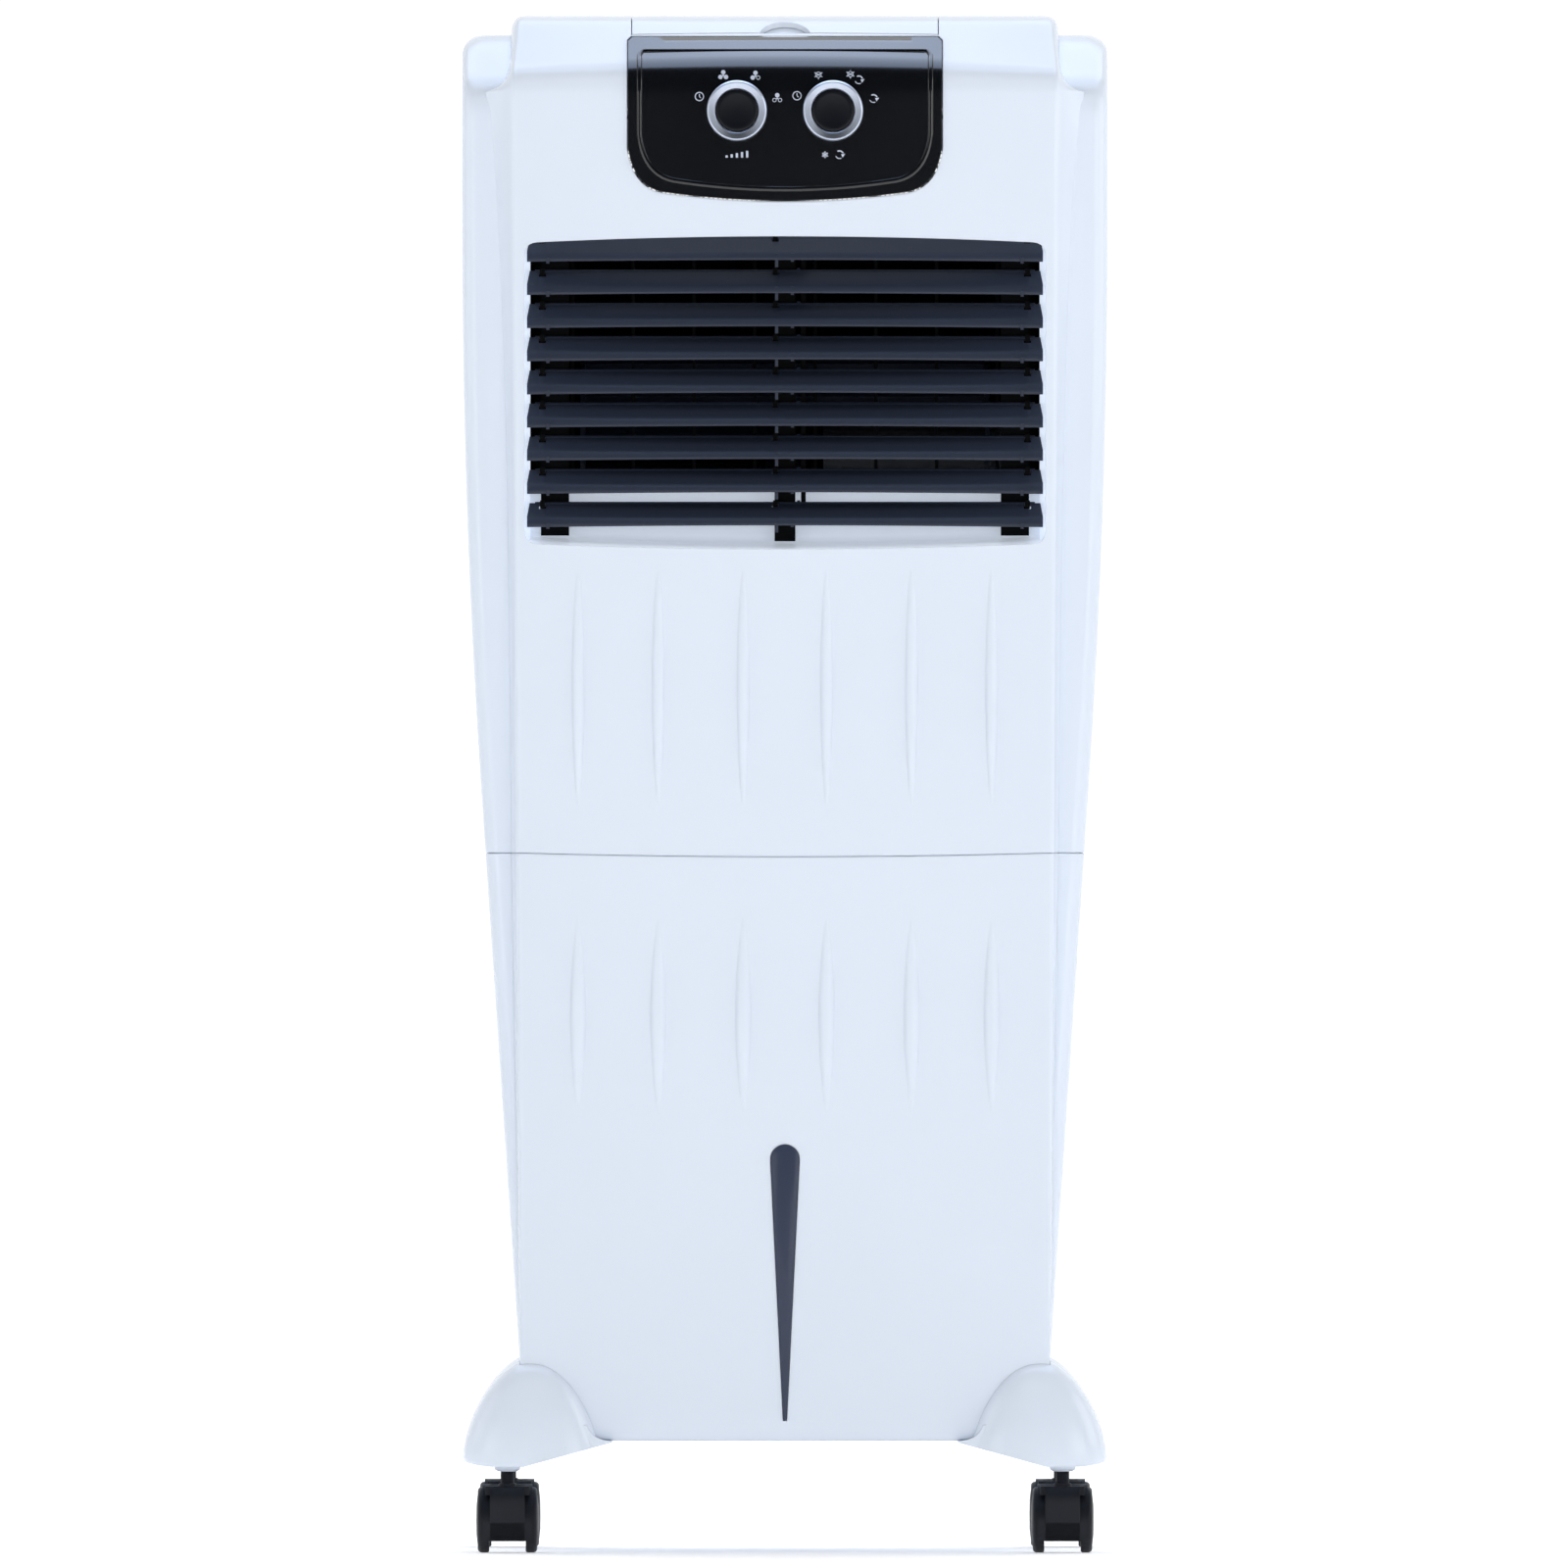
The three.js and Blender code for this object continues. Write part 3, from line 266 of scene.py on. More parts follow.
def material(
    name, colour, roughness, metallic=0.0, coat=0.0, grain=900.0, bump=0.02, bevel=0.0, shine=0.5, glow=0.0
):
    """Principled plastic or metal with uneven gloss, faint mottling and a fine moulded texture."""
    made = bpy.data.materials.new(name)
    made["slot"] = BORROWED_SLOTS.get(name, name)
    made.use_nodes = True
    nodes, links = made.node_tree.nodes, made.node_tree.links
    shader = nodes["Principled BSDF"]
    set_inputs(shader, {"Metallic": metallic, "Specular IOR Level": shine})
    set_inputs(shader, {"Coat Weight": coat, "Coat Roughness": COAT_ROUGHNESS})
    set_inputs(shader, {"Emission Color": colour, "Emission Strength": glow})
    place = nodes.new("ShaderNodeTexCoord")

    def noise(scale, detail):
        node = nodes.new("ShaderNodeTexNoise")
        set_inputs(node, {"Scale": scale, "Detail": detail})
        links.new(place.outputs["Object"], node.inputs["Vector"])
        return node

    broad = noise(BROAD_SCALE, 3.0)
    gloss = nodes.new("ShaderNodeMapRange")
    set_inputs(gloss, {"To Min": roughness * GLOSS_SPREAD[0], "To Max": roughness * GLOSS_SPREAD[1]})
    links.new(broad.outputs["Fac"], gloss.inputs["Value"])
    links.new(gloss.outputs["Result"], shader.inputs["Roughness"])
    mottle = nodes.new("ShaderNodeMix")
    mottle.data_type = "RGBA"
    set_inputs(mottle, {"A": colour, "B": tuple(c * MOTTLE for c in colour[:3]) + (1.0,)})
    links.new(broad.outputs["Fac"], mottle.inputs["Factor"])
    links.new(mottle.outputs["Result"], shader.inputs["Base Color"])
    texture = nodes.new("ShaderNodeBump")
    set_inputs(texture, {"Strength": bump, "Distance": TEXTURE_DEPTH})
    links.new(noise(grain, 2.0).outputs["Fac"], texture.inputs["Height"])
    if bevel:
        rounded = nodes.new("ShaderNodeBevel")
        rounded.samples = 4
        rounded.inputs["Radius"].default_value = bevel
        links.new(rounded.outputs["Normal"], texture.inputs["Normal"])
    links.new(texture.outputs["Normal"], shader.inputs["Normal"])
    return made


WHITE = material("white_shell", srgb(224, 233, 246), 0.24, coat=0.2, bevel=0.0009)
# The window's lining glows a little: painted light standing in for light bounced round the recess, so its
# sill, cheeks and deflector show as bright as the face.
GLOWING_LINER = material("window_liner_glowing", srgb(224, 233, 246), 0.3, glow=0.40)
BLACK_GLOSS = material("black_gloss", srgb(5, 8, 14), 0.17, coat=0.2, bevel=0.0007, shine=0.75)
KNOB_CAP = material("knob_cap", srgb(12, 15, 22), 0.3, bevel=0.0005, shine=0.25)
CHARCOAL = material("charcoal", srgb(42, 49, 65), 0.4, bevel=0.0004, shine=0.4)
CASTOR_GREY = material("castor_grey", srgb(16, 20, 29), 0.42, bevel=0.0005, shine=0.3)
BLACK = material("black_plastic", srgb(4, 5, 7), 0.6, grain=1500, bump=0.05, shine=0.08)
SMOKE = material("smoked_lens", srgb(54, 62, 82), 0.3, coat=0.1, shine=0.3)
STEEL = material("motor_steel", srgb(160, 163, 168), 0.36, metallic=0.9, bump=0.05)
PAPER = material("pad_paper", srgb(140, 106, 60), 0.9, grain=400, bump=0.4)
NET = material("filter_net", srgb(38, 41, 46), 0.75, grain=1200, bump=0.5)
TUBE = material("tube", srgb(214, 220, 226), 0.3, grain=200)
RUBBER = material("rubber", srgb(30, 31, 34), 0.7, grain=1600, bump=0.12)
PRINT = material("print", srgb(198, 206, 222), 0.5)
SCREW = material("screw", srgb(150, 154, 160), 0.28, metallic=1.0)


def brushed_ring():
    """Spun aluminium: gloss that streaks round the knob's own axis."""
    made = material("knob_ring", srgb(200, 209, 226), 0.3, metallic=1.0, bevel=0.0004)
    nodes, links = made.node_tree.nodes, made.node_tree.links
    shader = nodes["Principled BSDF"]
    shader.inputs["Anisotropic"].default_value = 0.75
    round_axis = nodes.new("ShaderNodeTangent")
    round_axis.direction_type = "RADIAL"
    round_axis.axis = "Y"
    links.new(round_axis.outputs["Tangent"], shader.inputs["Tangent"])
    return made


KNOB_RING = brushed_ring()


# ---------- mesh tools ----------
def linked(name, data):
    obj = bpy.data.objects.new(name, data)
    bpy.context.scene.collection.objects.link(obj)
    return obj


def new_object(name, mesh, finish, smooth_angle=35):
    mesh.materials.clear()
    mesh.materials.append(finish)
    mesh.shade_smooth()
    if smooth_angle:
        mesh.set_sharp_from_angle(angle=math.radians(smooth_angle))
    return linked(name, mesh)


def piece(name, mesh, finish, body, *nodes, smooth_angle=35):
    """A finished piece that rides on a body, takes its record slot and stands for CAD nodes."""
    obj = new_object(name, mesh, finish, smooth_angle)
    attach(obj, body)
    if nodes:
        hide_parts(*nodes)
    return obj


def mesh_of(verts, faces):
    """A mesh from plain data, with doubles merged and faces turned outwards."""
    mesh = bpy.data.meshes.new("piece")
    mesh.from_pydata([tuple(v) for v in verts], [], faces)
    work = bmesh.new()
    work.from_mesh(mesh)
    bmesh.ops.remove_doubles(work, verts=work.verts, dist=1e-6)
    bmesh.ops.recalc_face_normals(work, faces=work.faces)
    middle = sum((v.co for v in work.verts), Vector()) / len(work.verts)
    outward = sum(f.normal.dot(f.calc_center_median() - middle) * f.calc_area() for f in work.faces)
    if outward < 0:
        bmesh.ops.reverse_faces(work, faces=work.faces)
    work.to_mesh(mesh)
    work.free()
    return mesh


def rows_mesh(rows, round_rows=False, capped=False, lidded=False):
    """Quads between rows of equally many points, where a round row joins its last point to its first."""
    size = len(rows[0])
    faces = []
    for r in range(len(rows) - 1):
        for i in range(size if round_rows else size - 1):
            a, b = r * size + i, r * size + (i + 1) % size
            faces.append((a, b, b + size, a + size))
    if capped:
        faces.append(tuple(range(size))[::-1])
    if capped or lidded:
        faces.append(tuple((len(rows) - 1) * size + i for i in range(size)))
    return mesh_of([p for row in rows for p in row], faces)


def joined(meshes):
    """One mesh holding several."""
    work = bmesh.new()
    for mesh in meshes:
        work.from_mesh(mesh)
    whole = bpy.data.meshes.new("piece")
    work.to_mesh(whole)
    work.free()
    return whole


def carved(mesh, cutters, operation="DIFFERENCE", thickness=0.0):
    """The mesh, thickened inwards if asked, after booleans with the cutter meshes."""
    obj = linked("carved", mesh)
    if thickness:
        solid = obj.modifiers.new("skin", "SOLIDIFY")
        solid.thickness = thickness
        solid.offset = -1
    tools = [linked("cutter", cutter) for cutter in cutters]
    for tool in tools:
        step = obj.modifiers.new("cut", "BOOLEAN")
        step.operation = operation
        step.solver = "MANIFOLD"
        step.object = tool
    shape = obj.evaluated_get(bpy.context.evaluated_depsgraph_get())
    result = bpy.data.meshes.new_from_object(shape)
    for spare in [obj, *tools]:
        bpy.data.objects.remove(spare)
    return result


def spread(low, high, steps):
    """Evenly spaced values from low to high, both included."""
    return [low + (high - low) * i / steps for i in range(steps + 1)]


def box_mesh(low, high):
    xs, ys, zs = zip(low, high)
    corners = [(x, y, z) for x in xs for y in ys for z in zs]
    faces = [(0, 1, 3, 2), (4, 6, 7, 5), (0, 4, 5, 1), (2, 3, 7, 6), (0, 2, 6, 4), (1, 5, 7, 3)]
    return mesh_of(corners, faces)


def box_pair(sign, xs, ys, zs):
    """A box given for the right side, or mirrored to the left."""
    low_x, high_x = sorted(sign * x for x in xs)
    return box_mesh((low_x, ys[0], zs[0]), (high_x, ys[1], zs[1]))


def extruded(outline, low, high, axis="Y"):
    """A prism of an outline in (x, z) along Y, or in (y, z) along X."""
    rows = [[(a, d, b) if axis == "Y" else (d, a, b) for a, b in outline] for d in (low, high)]
    return rows_mesh(rows, round_rows=True, capped=True)


def lathe(profile, axis, centre=(0, 0, 0), sides=64):
    """A body of revolution from (radius, distance along the axis) pairs."""
    rows = []
    for r, d in profile:
        row = []
        for angle in (2 * math.pi * i / sides for i in range(sides)):
            a, b = r * math.cos(angle), r * math.sin(angle)
            offset = {"X": (d, a, b), "Y": (a, d, b), "Z": (a, b, d)}[axis]
            row.append(tuple(c + o for c, o in zip(centre, offset)))
        rows.append(row)
    return rows_mesh(rows, round_rows=True)


def rod(radius, low, high, axis, centre=(0, 0, 0), sides=24):
    """A round bar from low to high along the axis."""
    return lathe([(0, low), (radius, low), (radius, high), (0, high)], axis, centre, sides)


def resampled(loop, step):
    """Points along a closed outline, no further apart than step."""
    points = []
    for a, b in zip(loop, loop[1:] + loop[:1]):
        count = max(1, math.ceil(math.dist(a, b) / step))
        points += [tuple(p + (q - p) * i / count for p, q in zip(a, b)) for i in range(count)]
    return points


def tube_round(points, radii, sides=16):
    """A tube round a closed path, with one radius across the front view and one towards the front."""
    angles = [2 * math.pi * k / sides for k in range(sides)]
    offsets = [(radii[0] * math.cos(a), radii[1] * math.sin(a)) for a in angles]
    rows = []
    for i, point in enumerate(points):
        along = (Vector(points[(i + 1) % len(points)]) - Vector(points[i - 1])).normalized()
        across = along.cross(Vector((0, 1, 0)))
        across.normalize()
        other = along.cross(across)
        rows.append([Vector(point) + u * across + v * other for u, v in offsets])
    return rows_mesh([*rows, rows[0]], round_rows=True)


# ---------- body surfaces, as in the CAD ----------
def half_width(z):
    """Half the width over the wings, which draw in towards the floor."""
    drop = max(0.0, TAPER_FROM - z)
    curved = min(drop, TAPER_RUN)
    return MAX_HALF - TAPER_CURVE * curved**2 - 2 * TAPER_CURVE * TAPER_RUN * (drop - curved)


def band_half(z):
    """Half the width of the raised middle band."""
    return BAND_TOP_HALF - BAND_TAPER * (HEIGHT - z)


def front_at(z, face, corner):
    """The front's y at a height: an upright face, a rounded corner, then the slope."""
    tangent = CORNER_R * math.tan(PITCH)
    start = corner - tangent
    if z <= start:
        return face
    if z <= corner + tangent / 2:
        return face + CORNER_R - math.sqrt(CORNER_R**2 - (z - start) ** 2)
    return face + (z - corner) / math.tan(PITCH)


def bulge_at(u, z):
    """How far the face falls back at a share u of the band's half width."""
    share = min(1.0, max(0.0, (HEIGHT - z) / (HEIGHT - BULGE_FULL)))
    return BULGE * u * u * share


def wing_ring(z, inset=0.0, edge=0.0):
    """A rounded rectangle in plan at height z."""
    half = half_width(z) - inset - edge
    front = front_at(z, WING_FRONT, WING_CORNER) + inset + edge * 0.35
    back = BACK - inset - edge
    front_r, back_r = WING_FRONT_R, WING_BACK_R
    corners = (
        (half - front_r, front + front_r, front_r, -90),
        (half - back_r, back - back_r, back_r, 0),
        (-half + back_r, back - back_r, back_r, 90),
        (-half + front_r, front + front_r, front_r, 180),
    )
    ring = []
    for cx, cy, r, start in corners:
        for angle in (math.radians(start + turn) for turn in spread(0, 90, 8)):
            ring.append((cx + r * math.cos(angle), cy + r * math.sin(angle), z))
    return ring


def return_width(z):
    """How far the band's slanted return runs out sideways."""
    flare = RETURN_WIDTH + RETURN_FLARE * math.exp((z - RETURN_WIDEST) / RETURN_FADE)
    if z < SEAM:
        flare *= max(0.0, (z - RETURN_END) / (SEAM - RETURN_END))
    return min(flare, max(0.0015, (SHOULDER - z) * 0.55))


class Station:
    """A place on the raised band's side profile: its point, outward normal, and edge shape."""

    def __init__(self, y, z, normal_y, normal_z):
        self.y, self.z = y, z
        self.normal = (normal_y, normal_z)
        roof = min(1.0, max(0.0, (z - EDGE_GROWS) / (HEIGHT - EDGE_GROWS)))
        loss = min(1.0, max(0.0, (y - LOSS_FROM) / LOSS_RUN))
        self.depth = RETURN_DEPTH - RETURN_LOSS * loss
        if y > 0:
            self.depth = z - SHOULDER + 0.001
        self.edge_r = min(EDGE_R + EDGE_GAIN * roof, self.depth * 0.6)


def front_stations(low, high, steps):
    return [Station(FRONT, z, -1, 0) for z in spread(low, high, steps)]


def corner_stations():
    made = []
    for angle in (math.radians(a) for a in range(4, 61, 4)):
        y = FRONT + CORNER_R * (1 - math.cos(angle))
        z = CORNER_START + CORNER_R * math.sin(angle)
        made.append(Station(y, z, -math.cos(angle), math.sin(angle)))
    return made


def slope_stations(low, high, steps):
    return [
        Station(front_at(z, FRONT, BAND_CORNER), z, -math.sin(PITCH), math.cos(PITCH))
        for z in spread(low, high, steps)
    ]


def crest_stations():
    end_y = FRONT + (HEIGHT - BAND_CORNER) / math.tan(PITCH) + CREST_R * math.tan(PITCH / 2)
    made = []
    for angle in (math.radians(a) for a in range(27, -1, -3)):
        y = end_y - CREST_R * math.sin(angle)
        z = HEIGHT - CREST_R * (1 - math.cos(angle))
        made.append(Station(y, z, -math.sin(angle), math.cos(angle)))
    return made


def roof_stations(low, high, steps):
    return [Station(y, HEIGHT, 0, 1) for y in spread(low, high, steps)]


def rear_stations():
    r = 0.010
    made = []
    for angle in (math.radians(a) for a in range(15, 91, 15)):
        y = BAND_BACK - r + r * math.sin(angle)
        made.append(Station(y, HEIGHT - r * (1 - math.cos(angle)), 0, 1))
    made.append(Station(BAND_BACK, SHOULDER, 0, 1))
    return made


def band_point(station, x, depth):
    """A point at x, that far in from the band's profile."""
    ny, nz = station.normal
    return (x, station.y - ny * depth, station.z - nz * depth)


def dipped(point):
    """The point lowered near the seam, which sags a little towards the middle of the front."""
    x, y, z = point
    near = math.exp(-abs(z - SEAM) / 0.04)
    return (x, y, z - SEAM_DIP * near * max(0.0, 1 - (x / band_half(z)) ** 2))


def band_section(station):
    """The band from wing to wing: slanted return, rounded edge, face, rounded edge, return."""
    half, r = band_half(station.z), station.edge_r
    flare, deep = return_width(station.z), station.depth
    at_edge = bulge_at(1, station.z)
    reach = math.hypot(flare, deep - at_edge)
    turn = (flare / reach, (deep - at_edge) / reach)
    side = []
    for t in spread(0, 1, 5):
        x = half - r * (1 - t) ** 2 + turn[0] * r * t * t
        side.append((x, at_edge + turn[1] * r * t * t))
    begin = r / reach
    for t in spread(begin, 1, 4)[1:]:
        hollow = 0.3 * (t - begin) * (1 - t) / (1 - begin)
        side.append((half + flare * (t - hollow), at_edge + (deep - at_edge) * t))
    face = [(u * (half - r), bulge_at(u * (1 - r / half), station.z)) for u in spread(-1, 1, 48)[1:-1]]
    left = [(-x, depth) for x, depth in reversed(side)]
    return [dipped(band_point(station, x, depth)) for x, depth in [*left, *face, *side]]


def band_patch(stations, low_x, high_x, steps, lift=0.0):
    """A plain sheet on the band between two x values, raised by lift."""
    rows = []
    for station in stations:
        half = band_half(station.z)
        xs = spread(low_x, high_x, steps)
        rows.append([band_point(station, x, bulge_at(x / half, station.z) - lift) for x in xs])
    return rows_mesh(rows)


def curve_between(a, b, middle, steps):
    """A quadratic curve from a to b that bends towards middle."""
    points = []
    for t in spread(0, 1, steps):
        u, v, w = (1 - t) ** 2, 2 * t * (1 - t), t * t
        points.append(tuple(u * p + v * q + w * r for p, q, r in zip(a, middle, b)))
    return points


def window_outline():
    """The grille window in (x, z): a bowed top, a sagging sill and rounded corners."""
    side, r = WINDOW_HALF, 0.008
    top, bottom = WINDOW_TOP - 0.0044, WINDOW_BOTTOM + WINDOW_SAG
    sag_z = WINDOW_BOTTOM - WINDOW_SAG + 0.0020
    points = curve_between((-side, bottom + r), (-side + r, bottom - 0.0007), (-side, bottom), 5)
    points += curve_between(points[-1], (side - r, bottom - 0.0007), (0, sag_z), 24)[1:]
    points += curve_between(points[-1], (side, bottom + r), (side, bottom), 5)[1:]
    points += curve_between((side, top - r), (side - r, top + 0.0004), (side, top), 5)
    points += curve_between(points[-1], (-side + r, top + 0.0004), (0, WINDOW_TOP + 0.0034), 24)[1:]
    points += curve_between(points[-1], (-side, top - r), (-side, top), 5)[1:]
    return points


def console_outline(grow=0.0, top=CONSOLE_TOP):
    """The control panel in (x, z), with a bowed lower edge."""
    half, bottom = CONSOLE_HALF + grow, CONSOLE_BOTTOM - grow
    corner_x, corner_z = half - 0.021, bottom + 0.0055
    chamfer = 0.0025
    side_z, pull = corner_z + 0.028, (half - 0.003, corner_z + 0.004)
    points = [(-half + chamfer, top + grow), (-half, top + grow - chamfer)]
    points += curve_between((-half, side_z), (-corner_x, corner_z), (-pull[0], pull[1]), 10)
    points += curve_between(points[-1], (corner_x, corner_z), (0, bottom - 0.0055), 20)[1:]
    points += curve_between(points[-1], (half, side_z), pull, 10)[1:]
    points += [(half, top + grow - chamfer), (half - chamfer, top + grow)]
    return points


def sill_z(x):
    """The sill's height, which rises towards the sides."""
    return WINDOW_BOTTOM + WINDOW_SAG * (x / WINDOW_HALF) ** 2


# ---------- housing ----------
def rib_mesh(x, low, high, half, fullness):
    """A raised spindle on the front face."""
    rows = []
    for t in spread(0, 1, 28):
        share = max(0.02, math.sin(math.pi * t) ** fullness)
        z = low + (high - low) * t
        y = FRONT + bulge_at(x / band_half(z), z)
        angles = [math.pi * k / 8 for k in range(9)]
        wide, height = half * share, (RIB_RISE + RIB_SUNK) * share
        rows.append([(x - wide * math.cos(a), y + RIB_SUNK - height * math.sin(a), z) for a in angles])
    return rows_mesh(rows)


def lid_hole():
    """A block round the lid's patch of slope and roof, with its gap and the room for its hinge."""
    low_z = LID_FRONT - LID_GAP
    return box_mesh(
        (-LID_HALF - LID_GAP, front_at(low_z, FRONT, BAND_CORNER), LID_FRONT - 0.012),
        (LID_HALF + LID_GAP, LID_HINGE[0] + 0.005, HEIGHT + 0.02),
    )


def duct_meshes():
    """White walls behind the window: ceiling, cheeks with strips, sill and the deflector behind it."""
    front, back = DUCT_DEPTH
    cheek, strip = (WINDOW_HALF, WINDOW_HALF + DUCT_WALL), (WINDOW_HALF - STRIP_WIDTH, WINDOW_HALF)
    parts = [box_mesh((-WINDOW_HALF, front, DUCT_CEILING), (WINDOW_HALF, back, DUCT_HEIGHT[1]))]
    for sign in (-1, 1):
        parts.append(box_pair(sign, cheek, DUCT_DEPTH, DUCT_HEIGHT))
        parts.append(box_pair(sign, strip, STRIP_DEPTH, STRIP_HEIGHT))
    rows = []
    for x in spread(-WINDOW_HALF - 0.001, WINDOW_HALF + 0.001, 32):
        z = sill_z(x)
        lip = FRONT + bulge_at(x / band_half(z), z) + SILL_SUNK
        over = [(lip, -0.0006), (-0.141, 0.0044), (-0.1395, 0.0056), (-0.1385, 0.009)]
        under = [(-0.1363, 0.0075), (-0.1375, 0.004), (-0.139, 0.002), (lip, -0.0030)]
        rows.append(
            [(x, y, z + rise) for y, rise in over]
            + [(x, y, DEFLECTOR_TOP) for y in DEFLECTOR_DEPTH]
            + [(x, y, z + rise) for y, rise in under]
        )
    parts.append(rows_mesh(rows, round_rows=True, capped=True))
    return parts


def front_cover():
    """The raised middle band, from the seam up over the roof to the back."""
    stations = front_stations(SEAM + SEAM_SHOWN + LIP_R, CORNER_START, 64)
    stations += corner_stations() + slope_stations(SLOPE_LOW, SLOPE_HIGH, 6) + crest_stations()
    stations += roof_stations(ROOF_FRONT, BAND_BACK - 0.0105, 24) + rear_stations()
    rows = [band_section(station) for station in stations]
    brink = [(x, y + LIP_R, z - LIP_R) for x, y, z in rows[0]]
    lip = [(x, y + LIP_DEPTH, z) for x, y, z in brink]
    sheet = rows_mesh([lip, brink, *rows])
    cutters = [
        extruded(window_outline(), CUT_FRONT, -0.168),
        extruded(console_outline(CONSOLE_GAP), CUT_FRONT, -0.135),
        lid_hole(),
    ]
    ribs = [rib_mesh(x, *COVER_RIB) for x in RIB_XS]
    shell = joined([carved(sheet, cutters, thickness=SKIN), *ribs])
    piece("cover_shell", shell, WHITE, "housing", "front_cover")


def window_duct():
    """The white recess, whose lining glows as painted bounce light, with black screens beside the outer
    posts so that no light passes the pad.
    """
    piece("window_duct", joined(duct_meshes()), GLOWING_LINER, "housing")
    screens = [box_pair(sign, SCREEN_SPAN, SCREEN_DEPTH, SCREEN_HEIGHT) for sign in (-1, 1)]
    piece("duct_screens", joined(screens), BLACK, "housing")


def shoulder_rings(low):
    """Rings from a height up over the rounded shoulders, closer together near the top."""
    rings = [wing_ring(z) for z in spread(low, 0.895, 34)]
    rings += [wing_ring(z) for z in spread(0.897, SHOULDER - SHOULDER_R, 16)]
    for angle in (math.radians(a) for a in range(10, 91, 10)):
        z = SHOULDER - SHOULDER_R + SHOULDER_R * math.sin(angle)
        rings.append(wing_ring(z, edge=SHOULDER_R * (1 - math.cos(angle))))
    return rings


def upper_cabinet():
    """The wings and shoulders, with the shelf that carries the pad."""
    low = SEAM + SEAM_SHOWN
    rings = [wing_ring(low, LIP_INSET), wing_ring(low, LIP_R), *shoulder_rings(low + LIP_R)]
    radius, centre = GLAND_HOLE
    openings = [box_mesh(*box) for box in (GRILLE_HOLE, LID_WELL, CABINET_FRONT)]
    openings.append(rod(radius, *BACK_CUT, "Y", centre))
    cut = carved(rows_mesh(rings, round_rows=True, lidded=True), openings, thickness=SKIN)
    piece("cabinet_shell", joined([cut, box_mesh(*PAD_SHELF)]), WHITE, "housing", "upper_cabinet")


def level_outline(grow=0.0):
    """The level window in (x, z): a long drop, round at its top."""
    r = 0.0089 + grow
    points = [(-0.0010 - grow, 0.083 - grow), (-r, 0.244)]
    points += [(-r * math.cos(a), 0.246 + r * math.sin(a)) for a in spread(0, math.pi, 24)]
    points += [(r, 0.244), (0.0010 + grow, 0.083 - grow)]
    return points


def tank_block(grow):
    """The closed outside of the tank, for trimming the feet to it."""
    heights = [TANK_BOTTOM - grow, 0.119, 0.200, 0.300]
    wings = rows_mesh([wing_ring(z, -grow) for z in heights], round_rows=True, capped=True)
    rings = []
    for z in heights:
        half = band_half(z) + grow
        face = [(u * half, FRONT - grow + BULGE * u * u, z) for u in spread(1, -1, 24)]
        rings.append([*face, (-half, TANK_INNER, z), (half, TANK_INNER, z)])
    return [wings, rows_mesh(rings, round_rows=True, capped=True)]


def tank_wings():
    """The tank's sides and back, and its floor."""
    top = SEAM - SEAM_SHOWN
    rings = [wing_ring(TANK_BOTTOM, 0, BASE_R), wing_ring(TANK_BOTTOM + BASE_RISE, 0, BASE_RISE)]
    rings += [wing_ring(z) for z in spread(TANK_BOTTOM + BASE_R, top - LIP_R, 24)]
    rings += [wing_ring(top, LIP_R), wing_ring(top, LIP_INSET)]
    radius, centre = DRAIN_HOLE
    openings = [rod(radius, *BACK_CUT, "Y", centre, 32), box_mesh(*TANK_FRONT)]
    wings = carved(rows_mesh(rings, round_rows=True), openings, thickness=SKIN)
    return [wings, mesh_of(rings[0], [tuple(range(len(rings[0])))])]


def tank_front(rows):
    """The tank's part of the middle band, with the slot for the level window."""
    base = [(x, min(y + BASE_RISE, TANK_INNER), TANK_BOTTOM + BASE_RISE) for x, y, z in rows[0]]
    under = [(x * 0.99, min(y + BASE_R, TANK_INNER), TANK_BOTTOM) for x, y, z in rows[0]]
    back = [(x * 0.99, TANK_INNER, TANK_BOTTOM) for x, y, z in rows[0]]
    brink = [(x, y + LIP_R, z + LIP_R) for x, y, z in rows[-1]]
    lip = [(x, y + LIP_DEPTH, z) for x, y, z in brink]
    front = rows_mesh([back, under, base, *rows, brink, lip])
    return carved(front, [extruded(level_outline(LEVEL_GAP), CUT_FRONT, -0.170)], thickness=SKIN)


def tank_rim(front_row):
    """The tank's rim stands up inside the joint, so the gap shows white plastic."""
    rise = (-RIM_HALF, RIM_HALF)
    wing_rim = rows_mesh([wing_ring(SEAM + d, 0.0032) for d in rise], round_rows=True)
    front_rim = rows_mesh([[(x, y + 0.0028, z + d) for x, y, z in front_row] for d in rise])
    return [wing_rim, front_rim]


def water_tank():
    stations = front_stations(TANK_BOTTOM + BASE_R, SEAM - SEAM_SHOWN - LIP_R, 56)
    rows = [band_section(station) for station in stations]
    ribs = [rib_mesh(x, *TANK_RIB) for x in RIB_XS]
    shell = joined([*tank_wings(), tank_front(rows), *tank_rim(rows[-1]), *ribs])
    piece("tank_shell", shell, WHITE, "housing", "water_tank")


def level_window():
    rows = []
    for inset, y in ((0, -0.1775), (0, -0.1834), (0.0002, -0.18375), (0.0006, -0.1840)):
        rows.append([(x, y, z) for x, z in level_outline(-inset)])
    lens = rows_mesh(rows, round_rows=True, capped=True)
    piece("level_lens", lens, SMOKE, "housing", "level_window")


